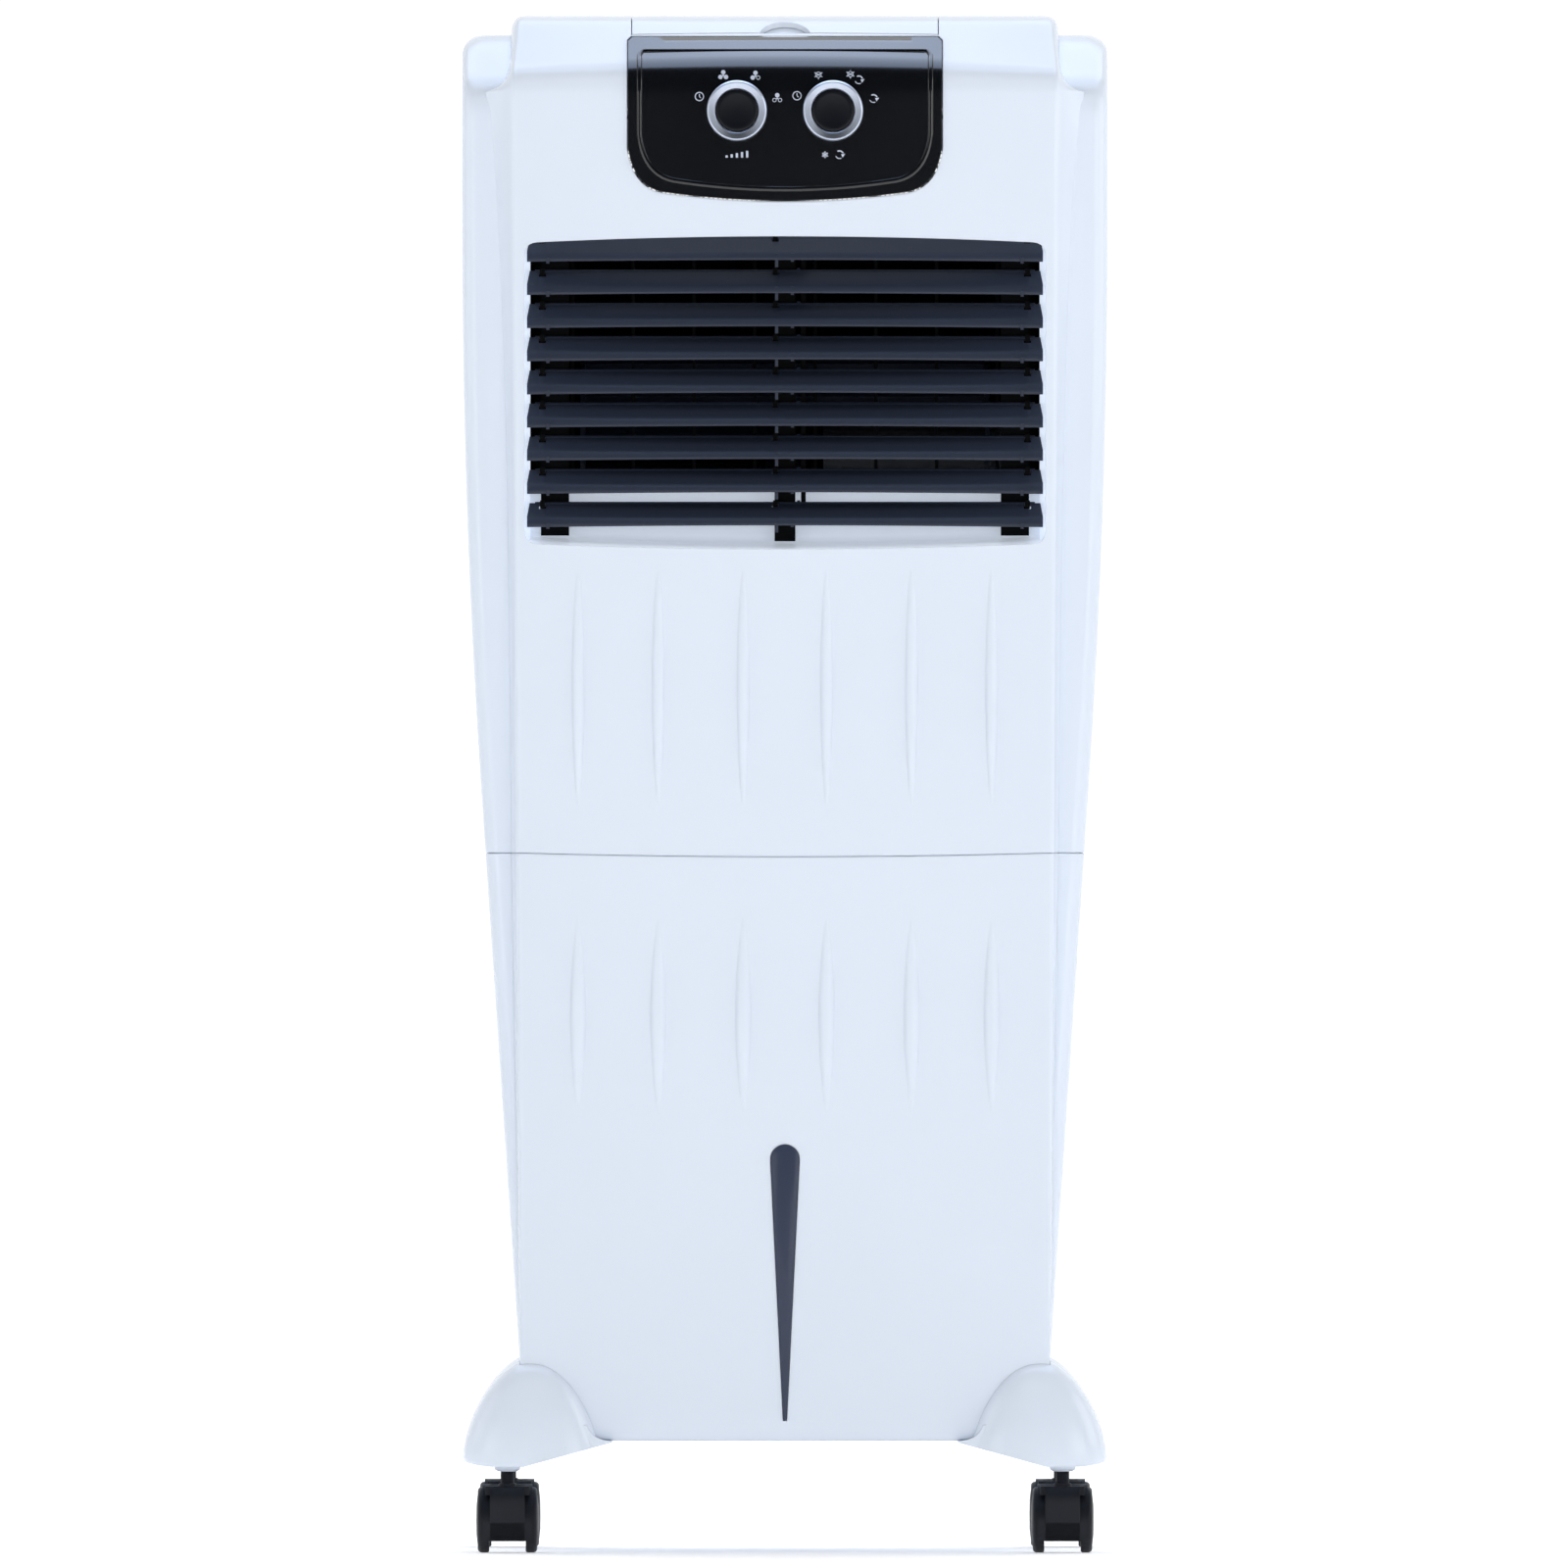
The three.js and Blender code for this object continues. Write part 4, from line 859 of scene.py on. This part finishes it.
def foot_ring(sign_x, sign_y, z, share):
    """A superellipse in plan whose front and back stay upright while its sides draw in."""
    quarter = [math.pi / 2 * (i / 20) ** 2 for i in range(21)]
    half_turn = quarter + [math.pi - a for a in reversed(quarter[:-1])]
    deep = FOOT_HALF[1] * share ** (FOOT_PLAN / FOOT_DEEP)
    points = []
    for angle in half_turn + [math.pi + a for a in half_turn[1:-1]]:
        c, s = math.cos(angle), math.sin(angle)
        x = sign_x * FOOT_AT[0] + FOOT_HALF[0] * share * math.copysign(abs(c) ** (2 / FOOT_PLAN), c)
        y = sign_y * FOOT_AT[1] + deep * math.copysign(abs(s) ** (2 / FOOT_DEEP), s)
        points.append((x, y, z))
    return points


def lifted(points):
    """The foot's rim rises a little towards the outer side."""
    start = FOOT_AT[0] + RIM_LIFT_FROM
    shares = [max(0.0, abs(x) - start) / RIM_LIFT_RUN for x, y, z in points]
    return [(x, y, z + RIM_LIFT * share**2) for (x, y, z), share in zip(points, shares)]


def foot_share(z):
    """How much of its full plan the bell keeps at a height."""
    rise = (z - FOOT_FULL) / FOOT_RISE
    return max(0.0, 1 - rise**FOOT_POWER) ** (1 / FOOT_POWER)


def foot_bell(sign_x, sign_y):
    """The hollow bell, cut away where the tank stands and on a slant below."""

    def ring(z, share):
        return foot_ring(sign_x, sign_y, z, share)

    heights = [FOOT_FULL + FOOT_RISE * math.sin(a) for a in spread(0, math.radians(84), 28)]
    rim = [(FOOT_LOW, 0.95), (FOOT_LOW + 0.0005, 0.972), (FOOT_LOW + 0.0013, 0.988)]
    rings = [lifted(ring(z, share)) for z, share in rim]
    rings += [lifted(ring(FOOT_FULL - 0.0008, 0.997)), *[ring(z, foot_share(z)) for z in heights[3:]]]
    bell = rows_mesh(rings, round_rows=True, capped=True)
    inside = [ring(FOOT_LOW - 0.001, 0.90), ring(0.060, 0.88), ring(0.066, 0.84)]
    hollow = rows_mesh(inside, round_rows=True, capped=True)
    slope = ((0.163, FOOT_LOW), (0.100, 0.0715), (0.100, 0.040), (0.163, 0.040))
    slant = extruded([(sign_x * x, z) for x, z in slope], -0.300, 0.300)
    return carved(bell, [hollow, slant, *tank_block(FOOT_GAP)])


def foot_toe(sign_x, sign_y):
    """The small curved toe where the foot runs out under the tank."""
    outline = curve_between((0.1235, 0.0800), (0.1075, 0.0702), (0.1205, 0.0702), 8)
    outline += [(0.1085, 0.0690), (0.1300, 0.0631), (0.1300, 0.0800)]
    depth = sorted(sign_y * y for y in (0.110, 0.1885))
    return carved(extruded([(sign_x * x, z) for x, z in outline], *depth), tank_block(FOOT_GAP))


def foot_boss(sign_x, sign_y):
    """The sleeve that holds the castor's stem."""
    wall = [(0.0048, 0.0508), (0.0062, 0.0508), (0.0064, 0.0512), (0.0080, 0.0520)]
    wall += [(0.0080, 0.070), (0.0048, 0.070), wall[0]]
    return lathe(wall, "Z", (sign_x * CASTOR_AT[0], sign_y * CASTOR_AT[1], 0), 40)


def foot(name, sign_x, sign_y):
    parts = [part(sign_x, sign_y) for part in (foot_bell, foot_toe, foot_boss)]
    piece(f"{name}_shell", joined(parts), WHITE, "housing", name)


# ---------- console, dials and print ----------
def surface_y(x, z, lift=0.0):
    """Where the console's surface lies at (x, z), a little proud by lift."""
    return front_at(z, FRONT, BAND_CORNER) + bulge_at(x / band_half(z), z) - CONSOLE_PROUD - lift


def console():
    """The glossy panel that bends over the corner, with the raised bead round it."""
    stations = front_stations(0.836, CORNER_START, 16)
    stations += corner_stations() + slope_stations(SLOPE_LOW, 0.9530, 5)
    sheet = band_patch(stations, -0.106, 0.106, 40, CONSOLE_PROUD)
    plate = carved(sheet, [extruded(console_outline(), -0.205, -0.135)], "INTERSECT", 0.005)
    holes = [rod(SHAFT_HOLE, CUT_FRONT, -0.16, "Y", (sign * KNOB_X, 0, KNOB_Z)) for sign in (-1, 1)]
    plate = carved(plate, holes)
    piece("console_plate", plate, BLACK_GLOSS, "housing", "control_panel")
    loop = resampled(console_outline(-BEAD_INSET, 0.9445), 0.0020)
    path = [(x, surface_y(x, z), z) for x, z in loop]
    bead = tube_round(path, BEAD_SIZE)
    piece("console_bead", bead, BLACK_GLOSS, "housing", smooth_angle=60)


def knob_ring_mesh(front):
    """The ring round the cap, from its back over its rounded rim and down inside."""
    profile = [(KNOB_BORE, KNOB_BACK), (KNOB_R - 0.0006, KNOB_BACK), (KNOB_R, KNOB_BACK - 0.0006)]
    profile += [(KNOB_R, front + 0.0020), (KNOB_R - 0.0002, front + 0.0011)]
    profile += [(KNOB_R - 0.0007, front + 0.0004), (KNOB_R - 0.0014, front)]
    profile += [(KNOB_CAP_R + 0.0010, front + 0.0005), (KNOB_CAP_R + 0.0005, front + 0.0010)]
    profile += [(KNOB_CAP_R + 0.0004, KNOB_BACK - 0.003), (KNOB_BORE, KNOB_BACK - 0.003), profile[0]]
    return lathe(profile, "Y", sides=96)


def knob_cap_mesh(front):
    """The cap, whose face is slightly hollow."""
    base = KNOB_BACK - 0.0064
    profile = [(0.0, base), (KNOB_CAP_R, base), (KNOB_CAP_R, front + 0.0020)]
    profile += [(KNOB_CAP_R - 0.0004, front + 0.0014), (KNOB_CAP_R - 0.0012, front + 0.0011)]
    for share in (0.85, 0.7, 0.5, 0.25, 0.0):
        profile.append(((KNOB_CAP_R - 0.0012) * share, front + 0.0011 + 0.0008 * (1 - share**2)))
    return lathe(profile, "Y", sides=96)


def knob(name, x):
    front = KNOB_BACK - KNOB_DEPTH
    ring, cap = knob_ring_mesh(front), knob_cap_mesh(front)
    for part, mesh, finish in (("ring", ring, KNOB_RING), ("cap", cap, KNOB_CAP)):
        made = piece(f"{name}_{part}_shell", mesh, finish, name, f"{name}_{part}")
        made.location = (x, 0, KNOB_Z)


class Print:
    """Flat marks printed on the console, gathered into one mesh."""

    def __init__(self):
        self.verts = []
        self.faces = []

    def polygon(self, points):
        first = len(self.verts)
        self.verts += [(x, surface_y(x, z, PRINT_LIFT), z) for x, z in points]
        self.faces.append(tuple(range(first, first + len(points))))

    def disc(self, x, z, r):
        angles = [2 * math.pi * i / PRINT_STEPS for i in range(PRINT_STEPS)]
        self.polygon([(x + r * math.cos(a), z + r * math.sin(a)) for a in angles])

    def arc(self, x, z, r, start, end, width=PRINT_WIDTH):
        """Part of a ring between two angles in degrees."""
        angles = [math.radians(a) for a in spread(start, end, PRINT_STEPS)]
        inner, outer = r - width / 2, r + width / 2
        for a, b in zip(angles, angles[1:]):
            corners = ((inner, a), (outer, a), (outer, b), (inner, b))
            self.polygon([(x + q * math.cos(turn), z + q * math.sin(turn)) for q, turn in corners])

    def line(self, start, end, width=PRINT_WIDTH):
        along = Vector((end[0] - start[0], end[1] - start[1])).normalized() * width / 2
        corners = ((start, 1), (end, 1), (end, -1), (start, -1))
        self.polygon([(x - side * along.y, z + side * along.x) for (x, z), side in corners])

    def off(self, x, z):
        self.arc(x, z, 0.0026, 0, 360)
        self.line((x, z), (x, z + 0.0016))
        self.line((x, z), (x + 0.0009, z - 0.0009))

    def fan(self, x, z, solid_blades):
        for i in range(3):
            angle = math.radians(90 + 120 * i)
            bx, bz = x + 0.0020 * math.cos(angle), z + 0.0020 * math.sin(angle)
            if i < solid_blades:
                self.disc(bx, bz, 0.0014)
            else:
                self.arc(bx, bz, 0.0011, 0, 360, 0.0004)
        self.disc(x, z, 0.0006)

    def flake(self, x, z, r=0.0028):
        for i in range(3):
            angle = math.radians(30 + 60 * i)
            dx, dz = r * math.cos(angle), r * math.sin(angle)
            self.line((x - dx, z - dz), (x + dx, z + dz), 0.0005)
        self.arc(x, z, r * 0.6, 0, 360, 0.0004)

    def swing(self, x, z):
        self.arc(x, z, 0.0024, 200, 300, 0.0005)
        self.arc(x, z, 0.0024, 20, 120, 0.0008)
        self.polygon([(x + 0.0010, z + 0.0002), (x + 0.0036, z + 0.0006), (x + 0.0020, z - 0.0018)])


def console_print():
    marks = Print()
    marks.off(-KNOB_X - 0.0234, KNOB_Z + 0.0089)
    for dx, dz, blades in ((-0.0085, 0.0221, 3), (0.0116, 0.0217, 2), (0.0252, 0.0077, 1)):
        marks.fan(-KNOB_X + dx, KNOB_Z + dz, blades)
    marks.off(KNOB_X - 0.0225, KNOB_Z + 0.0094)
    marks.flake(KNOB_X - 0.0091, KNOB_Z + 0.0225)
    marks.flake(KNOB_X + 0.0108, KNOB_Z + 0.0229)
    marks.swing(KNOB_X + 0.0161, KNOB_Z + 0.0193)
    marks.swing(KNOB_X + 0.0252, KNOB_Z + 0.0076)
    # Plain signs under the dials: rising bars for speed, a flake beside a swing arrow for mode.
    for i in range(5):
        x = -KNOB_X - 0.0064 + 0.0032 * i
        marks.line((x, 0.8708), (x, 0.8722 + 0.0007 * i), 0.0014)
    marks.flake(KNOB_X - 0.005, 0.8726, 0.0022)
    marks.swing(KNOB_X + 0.004, 0.8726)
    piece("console_print", mesh_of(marks.verts, marks.faces), PRINT, "housing")


# ---------- lid ----------
def top_lid():
    """The flap over the ice tray, with its hinge rod and its finger scoop."""
    stations = slope_stations(LID_FRONT - 0.004, SLOPE_HIGH, 8) + crest_stations()
    stations += roof_stations(ROOF_FRONT, LID_HINGE[0] + 0.010, 20)
    sheet = band_patch(stations, -LID_HALF - 0.01, LID_HALF + 0.01, 32)
    front_y = front_at(LID_FRONT, FRONT, BAND_CORNER)
    low, high = (-LID_HALF, front_y, LID_FRONT - 0.02), (LID_HALF, LID_HINGE[0] + 0.0024, HEIGHT + 0.02)
    block = box_mesh(low, high)
    flap = carved(sheet, [block], "INTERSECT", 0.003)
    scoop = rod(SCOOP_R, -0.03, 0.03, "Z", (0, front_y - 0.005, 0.955), 48)
    # The finger scoop is closed below by a thin sunken dish.
    stations = slope_stations(LID_FRONT, SLOPE_HIGH, 8) + crest_stations()
    floor = carved(band_patch(stations, -0.020, 0.020, 12, -SCOOP_DEPTH), [block], "INTERSECT", 0.0008)
    parts = [carved(flap, [scoop]), floor]
    for radius, half in ((0.0026, LID_HALF - 0.001), (0.0017, LID_HALF + 0.0036)):
        parts.append(rod(radius, -half, half, "X", (0, *LID_HINGE)))
    piece("lid_flap", joined(parts), WHITE, "lid", "top_lid")


# ---------- louvres ----------
def louvre_section(x):
    """The blade's cut at x, in (y, z) about its pivot: a thin plate whose front lip curls down."""
    share = (x / LOUVRE_HALF) ** 2
    swept = LOUVRE_CHORD - LOUVRE_SWEEP * share
    drop = LOUVRE_CHORD * math.sin(LOUVRE_TILT) + LOUVRE_ARCH * share
    s = drop / swept
    c = math.sqrt(1 - s * s)
    past_plate = max(0.0, (abs(x) - LOUVRE_HALF + LOUVRE_END) / LOUVRE_END)
    notched = any(abs(x - ear) < NOTCH_HALF for ear in EAR_XS)
    rear = (LOUVRE_REAR - swept) * past_plate - (NOTCH_DEPTH if notched else 0.0)
    lip = ((-swept + 0.0055, 0.0009), (-swept + 0.0001, -0.0018), (-swept + 0.0012, 0.0004))
    curl = curve_between(*lip, 6)
    nose = curve_between(curl[-1], (-swept + 0.0013, -0.0029), (-swept - 0.0001, -0.0029), 4)[1:]
    section = [(rear, 0.0010), *curl, *nose, (-swept + 0.0045, -0.0008), (rear, -0.0008)]
    return [(x, a * c - b * s, a * s + b * c) for a, b in section]


def louvre_mesh():
    """A blade with its notches, pivot rod, arm and pin for the link, and stops."""
    end, plate_end = LOUVRE_HALF, LOUVRE_HALF - LOUVRE_END
    xs = [-end, -end + 0.0008, *spread(-plate_end, plate_end, 60), end - 0.0008, end]
    for ear in EAR_XS:
        xs += [ear - 0.0022, ear - 0.0021, ear + 0.0021, ear + 0.0022]
    parts = [rows_mesh([louvre_section(x) for x in sorted(xs)], round_rows=True, capped=True)]
    radius, half = LOUVRE_ROD
    parts.append(rod(radius, -half, half, "X", sides=16))
    arm = box_mesh((0.0075, -0.001, -0.0022), (0.0095, 0.0118, 0.0022))
    pin_y, pin_z = LINK_PIN
    arm.transform(Matrix.Rotation(math.atan2(pin_z, pin_y), 4, "X"))
    parts += [arm, rod(0.0011, 0.009, 0.0138, "X", (0, pin_y, pin_z), 12)]
    for x, y, low, high in STOPS:
        corners = [(x + side, y + side, z) for side, z in ((-STOP_HALF, low), (STOP_HALF, high))]
        parts.append(box_mesh(*corners))
    return joined(parts)


def louvres():
    blade = louvre_mesh()
    for i in range(LOUVRES):
        node = f"louvre_{i + 1}"
        obj = piece(f"louvre_blade_{i + 1}", blade.copy(), CHARCOAL, node, node, smooth_angle=50)
        obj.location = (0, LOUVRE_Y, LOUVRE_TOP - i * LOUVRE_PITCH)


# ---------- castors ----------
def web_outline():
    """Hood between the wheels, in (y, z) about the swivel axis."""
    points = [(-0.009, 0.041)]
    points += curve_between((-0.009, 0.041), (-0.010, 0.024), (-0.013, 0.036), 10)[1:]
    points += curve_between((-0.010, 0.024), (CASTOR_TRAIL - 0.002, 0.007), (-0.006, 0.007), 12)[1:]
    r = WHEEL_R - 0.007
    for angle in spread(-math.pi / 2, math.pi / 3, 20):
        points.append((CASTOR_TRAIL + r * math.cos(angle), WHEEL_R + r * math.sin(angle)))
    points += curve_between(points[-1], (0.009, 0.041), (CASTOR_TRAIL + 0.002, 0.041), 8)[1:]
    return points


def hood_meshes():
    """The web between the wheels and the shell that wraps over their inner halves."""
    angles = spread(*HOOD_ARC, 40)

    def arc(r):
        return [(CASTOR_TRAIL + r * math.cos(a), WHEEL_R + r * math.sin(a)) for a in angles]

    web = extruded(web_outline(), -WEB_HALF, WEB_HALF, "X")
    sector = extruded([*arc(HOOD_OUT), (CASTOR_TRAIL, WHEEL_R)], -WEB_HALF, WEB_HALF, "X")
    shell = extruded([*arc(HOOD_OUT), *reversed(arc(HOOD_IN))], -HOOD_HALF, HOOD_HALF, "X")
    wheel_space = rod(HOOD_IN, -0.02, 0.02, "X", (0, CASTOR_TRAIL, WHEEL_R), 96)
    shoulder = carved(box_mesh((-0.0137, -0.008, 0.036), (0.0137, 0.008, 0.0416)), [wheel_space])
    return [web, sector, shell, shoulder]


def stem_mesh():
    """The threaded stem that stands in the foot."""
    thread = [(0, 0.040)]
    for i in range(12):
        z = THREAD_LOW + THREAD_PITCH * i
        thread += [(STEM_R, z), (0.0041, z + THREAD_PITCH / 2)]
    thread += [(STEM_R, 0.0512), (STEM_R, 0.078), (0.0038, 0.079), (0, 0.079)]
    return lathe(thread, "Z", sides=40)


def tyres_mesh():
    """The pair of wheels with a stepped face, on their axle."""
    inner = WEB_HALF + 0.0006
    tread = [(0, inner), (WHEEL_R - 0.0008, inner), (WHEEL_R, inner + 0.0008)]
    tread.append((WHEEL_R, WHEEL_OUT - 0.0036))
    for angle in (math.radians(a) for a in range(15, 91, 15)):
        drop, out = 0.0024 * (1 - math.cos(angle)), 0.0027 * math.sin(angle)
        tread.append((WHEEL_R - drop, WHEEL_OUT - 0.0036 + out))
    tread += [(WHEEL_R - 0.0040, WHEEL_OUT - 0.0009), (WHEEL_R - 0.0044, WHEEL_OUT - 0.0013)]
    tread += [(WHEEL_R - 0.0050, WHEEL_OUT - 0.0008), (WHEEL_R * 0.45, WHEEL_OUT - 0.0001)]
    tread.append((0, WHEEL_OUT))
    sides = [lathe([(r, side * d) for r, d in tread], "X", sides=80) for side in (-1, 1)]
    return joined([*sides, rod(AXLE_R, -inner, inner, "X", sides=20)])


def castor(key, sign_x, sign_y):
    at = Vector((sign_x * CASTOR_AT[0], sign_y * CASTOR_AT[1], 0))
    step = [(0, 0.0405), (0.0056, 0.0405), (0.0056, 0.0430), (0.0050, 0.0435), (0, 0.0435)]
    hood = joined([*hood_meshes(), lathe(step, "Z", sides=40)])
    made = [
        piece(f"castor_hood_{key}", hood, CASTOR_GREY, f"castor_{key}", f"castor_web_{key}"),
        piece(f"castor_stem_{key}", stem_mesh(), CASTOR_GREY, f"castor_{key}"),
    ]
    for obj in made:
        obj.location = at
    wheels = piece(
        f"castor_tyres_{key}", tyres_mesh(), CASTOR_GREY, f"wheels_{key}", f"castor_wheels_{key}"
    )
    wheels.location = at + Vector((0, CASTOR_TRAIL, WHEEL_R))


# ---------- back, pad and fixings ----------
def cooling_pad():
    """Corrugated paper: upright wavy strips with alternate phases, edge on to the air."""
    (x0, y0, z0), (x1, y1, z1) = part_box("cooling_pad")
    strips = []
    for k in range(int((x1 - x0) / PAD_PITCH)):
        middle = x0 + PAD_PITCH * (k + 0.5)
        phase = math.pi * (k % 2)
        rows = []
        for z in spread(z0, z1, 150):
            x = middle + PAD_WAVE * math.sin(2 * math.pi * (z - z0) / PAD_WAVELENGTH + phase)
            rows.append([(x, y0, z), (x, y1, z)])
        strips.append(rows_mesh(rows))
    obj = piece("pad_cells", joined(strips), PAPER, "housing", "cooling_pad", smooth_angle=0)
    paper = obj.modifiers.new("paper", "SOLIDIFY")
    paper.thickness = PAPER_THICK


def filter_net():
    """Framed net with real threads."""
    (x0, y0, z0), (x1, y1, z1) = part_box("dust_filter")
    left, right, low, high = x0 + NET_RAIL, x1 - NET_RAIL, z0 + NET_RAIL, z1 - NET_RAIL
    parts = [
        box_mesh((x0, y0, z0), (x1, y1, low)),
        box_mesh((x0, y0, high), (x1, y1, z1)),
        box_mesh((x0, y0, low), (left, y1, high)),
        box_mesh((right, y0, low), (x1, y1, high)),
    ]
    thread, middle = NET_THREAD, (y0 + y1) / 2
    front, back = middle - thread, middle + thread
    for x in spread(left, right, NET_CELLS[0])[1:-1]:
        parts.append(box_mesh((x - thread, front, low), (x + thread, back, high)))
    for z in spread(low, high, NET_CELLS[1])[1:-1]:
        parts.append(box_mesh((left, front, z - thread), (right, back, z + thread)))
    piece("filter_threads", joined(parts), NET, "grille", "dust_filter")


def back_screws():
    """Domed screw heads with a cross recess on the back."""
    long, short = SCREW_R * 0.6, SCREW_R * 0.14
    dome = [(0, 0), (SCREW_R, 0), (SCREW_R, 0.0008)]
    dome += [(SCREW_R * 0.8, 0.0017), (SCREW_R * 0.4, 0.0022), (0, 0.0023)]
    spots = [(x, z) for x in (-0.166, 0.166) for z in (0.925, 0.447)]
    spots += [(x, z) for x in (-0.130, 0.130) for z in (0.400, 0.130)]
    for i, (x, z) in enumerate(spots):
        cross = [
            box_mesh((x - a, BACK + 0.0010, z - b), (x + a, BACK + 0.0040, z + b))
            for a, b in ((long, short), (short, long))
        ]
        head = carved(lathe(dome, "Y", (x, BACK, z), 28), cross)
        piece(f"back_screw_{i + 1}", head, SCREW, "housing")


# ---------- CAD pieces that keep their own shape ----------
def dress_frame():
    """Give each CAD piece that no Blender piece stands for its finish."""
    dressed = (
        (WHITE, ("ice_tray", "water_distributor", "rear_grille")),
        (BLACK, ("louvre_frame", "louvre_link", "vane_link", "volute_left", "volute_right")),
        (BLACK, ("pump", "speed_switch", "mode_switch", *[f"vane_{i}" for i in range(1, 9)])),
        (CHARCOAL, ("impeller",)),
        (STEEL, ("fan_motor", "swing_motor")),
        (TUBE, ("water_pipe",)),
        (RUBBER, ("drain_plug", "cord_gland")),
    )
    for finish, nodes in dressed:
        for node in nodes:
            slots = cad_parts[node].data.materials
            slots.clear()
            slots.append(finish)


# ---------- studio ----------
def backdrop():
    """White behind the cooler and dim behind the camera, so that black gloss stays black."""
    world = bpy.data.worlds.new("studio")
    world.use_nodes = True
    nodes, links = world.node_tree.nodes, world.node_tree.links
    direction = nodes.new("ShaderNodeTexCoord")
    parts = nodes.new("ShaderNodeSeparateXYZ")
    links.new(direction.outputs["Generated"], parts.inputs["Vector"])
    towards_back = nodes.new("ShaderNodeMapRange")
    set_inputs(towards_back, {"From Min": -0.4, "From Max": 0.6, "To Min": 0.035, "To Max": 1.08})
    links.new(parts.outputs["Y"], towards_back.inputs["Value"])
    links.new(towards_back.outputs["Result"], nodes["Background"].inputs["Strength"])
    nodes["Background"].inputs["Color"].default_value = (0.985, 0.995, 1.0, 1.0)
    bpy.context.scene.world = world
    finish = material("floor", srgb(253, 253, 254), 0.8, grain=60, bump=0.01, shine=0.1, glow=0.2)
    corners = [(-6, -9, 0), (6, -9, 0), (6, 8, 0), (-6, 8, 0)]
    new_object("floor", mesh_of(corners, [(0, 1, 2, 3)]), finish)


def lamps():
    """Softboxes: name, place, point lit, width in metres, watts and colour."""
    neutral, cool = (1.0, 1.0, 1.0), (0.72, 0.92, 1.33)
    middle = (0.0, 0.0, 0.5)
    boxes = (
        ("front_right", (2.6, -4.8, 0.55), middle, 2.0, 26, neutral),
        ("front_left", (-2.6, -4.8, 0.55), middle, 2.0, 20, neutral),
        ("side_right", (3.0, -1.2, 1.6), middle, 2.0, 24, neutral),
        ("side_left", (-3.0, -1.2, 1.6), middle, 2.0, 14, neutral),
        ("fill_behind", (0.0, 5.0, 4.0), (0.0, 5.0, 0.0), 6.0, 260, neutral),
        ("fill_high", (0.0, -3.2, 3.6), (0.0, -0.1, 0.8), 1.6, 50, neutral),
        ("fill_low", (0.0, -5.0, 0.6), middle, 1.6, 27, neutral),
        ("sheen", (0.0, 0.35, 3.2), (0.0, -0.15, 0.95), 2.4, 40, cool),
    )
    for name, at, lit, width, power, colour in boxes:
        lamp = bpy.data.lights.new(name, "AREA")
        lamp.size = width
        lamp.energy = power
        lamp.color = colour
        obj = linked(name, lamp)
        obj.location = at
        obj.rotation_euler = (Vector(lit) - Vector(at)).to_track_quat("-Z", "Y").to_euler()
        # The fills light the front without mirroring in the black gloss, and the sheen only mirrors.
        obj.visible_glossy = not name.startswith("fill")
        obj.visible_diffuse = name != "sheen"


def camera():
    """A long lens far away, level with the middle of the cooler."""
    made = linked("camera", bpy.data.cameras.new("camera"))
    made.data.sensor_width = 36
    made.data.lens = CAMERA_LENS
    made.data.clip_end = 100
    made.location = (CAMERA_SHIFT, FRONT - CAMERA_DISTANCE, HEIGHT / 2)
    made.rotation_euler = (math.radians(90), 0, 0)
    bpy.context.scene.camera = made
    bpy.context.scene.view_settings.view_transform = "Standard"


front_cover()
window_duct()
upper_cabinet()
water_tank()
level_window()
for end, sign_y in (("front", -1), ("rear", 1)):
    for side, sign_x in (("left", -1), ("right", 1)):
        foot(f"foot_{end}_{side}", sign_x, sign_y)
        castor(f"{end}_{side}", sign_x, sign_y)
console()
console_print()
knob("speed_knob", -KNOB_X)
knob("mode_knob", KNOB_X)
top_lid()
louvres()
cooling_pad()
filter_net()
back_screws()
dress_frame()
backdrop()
lamps()
camera()
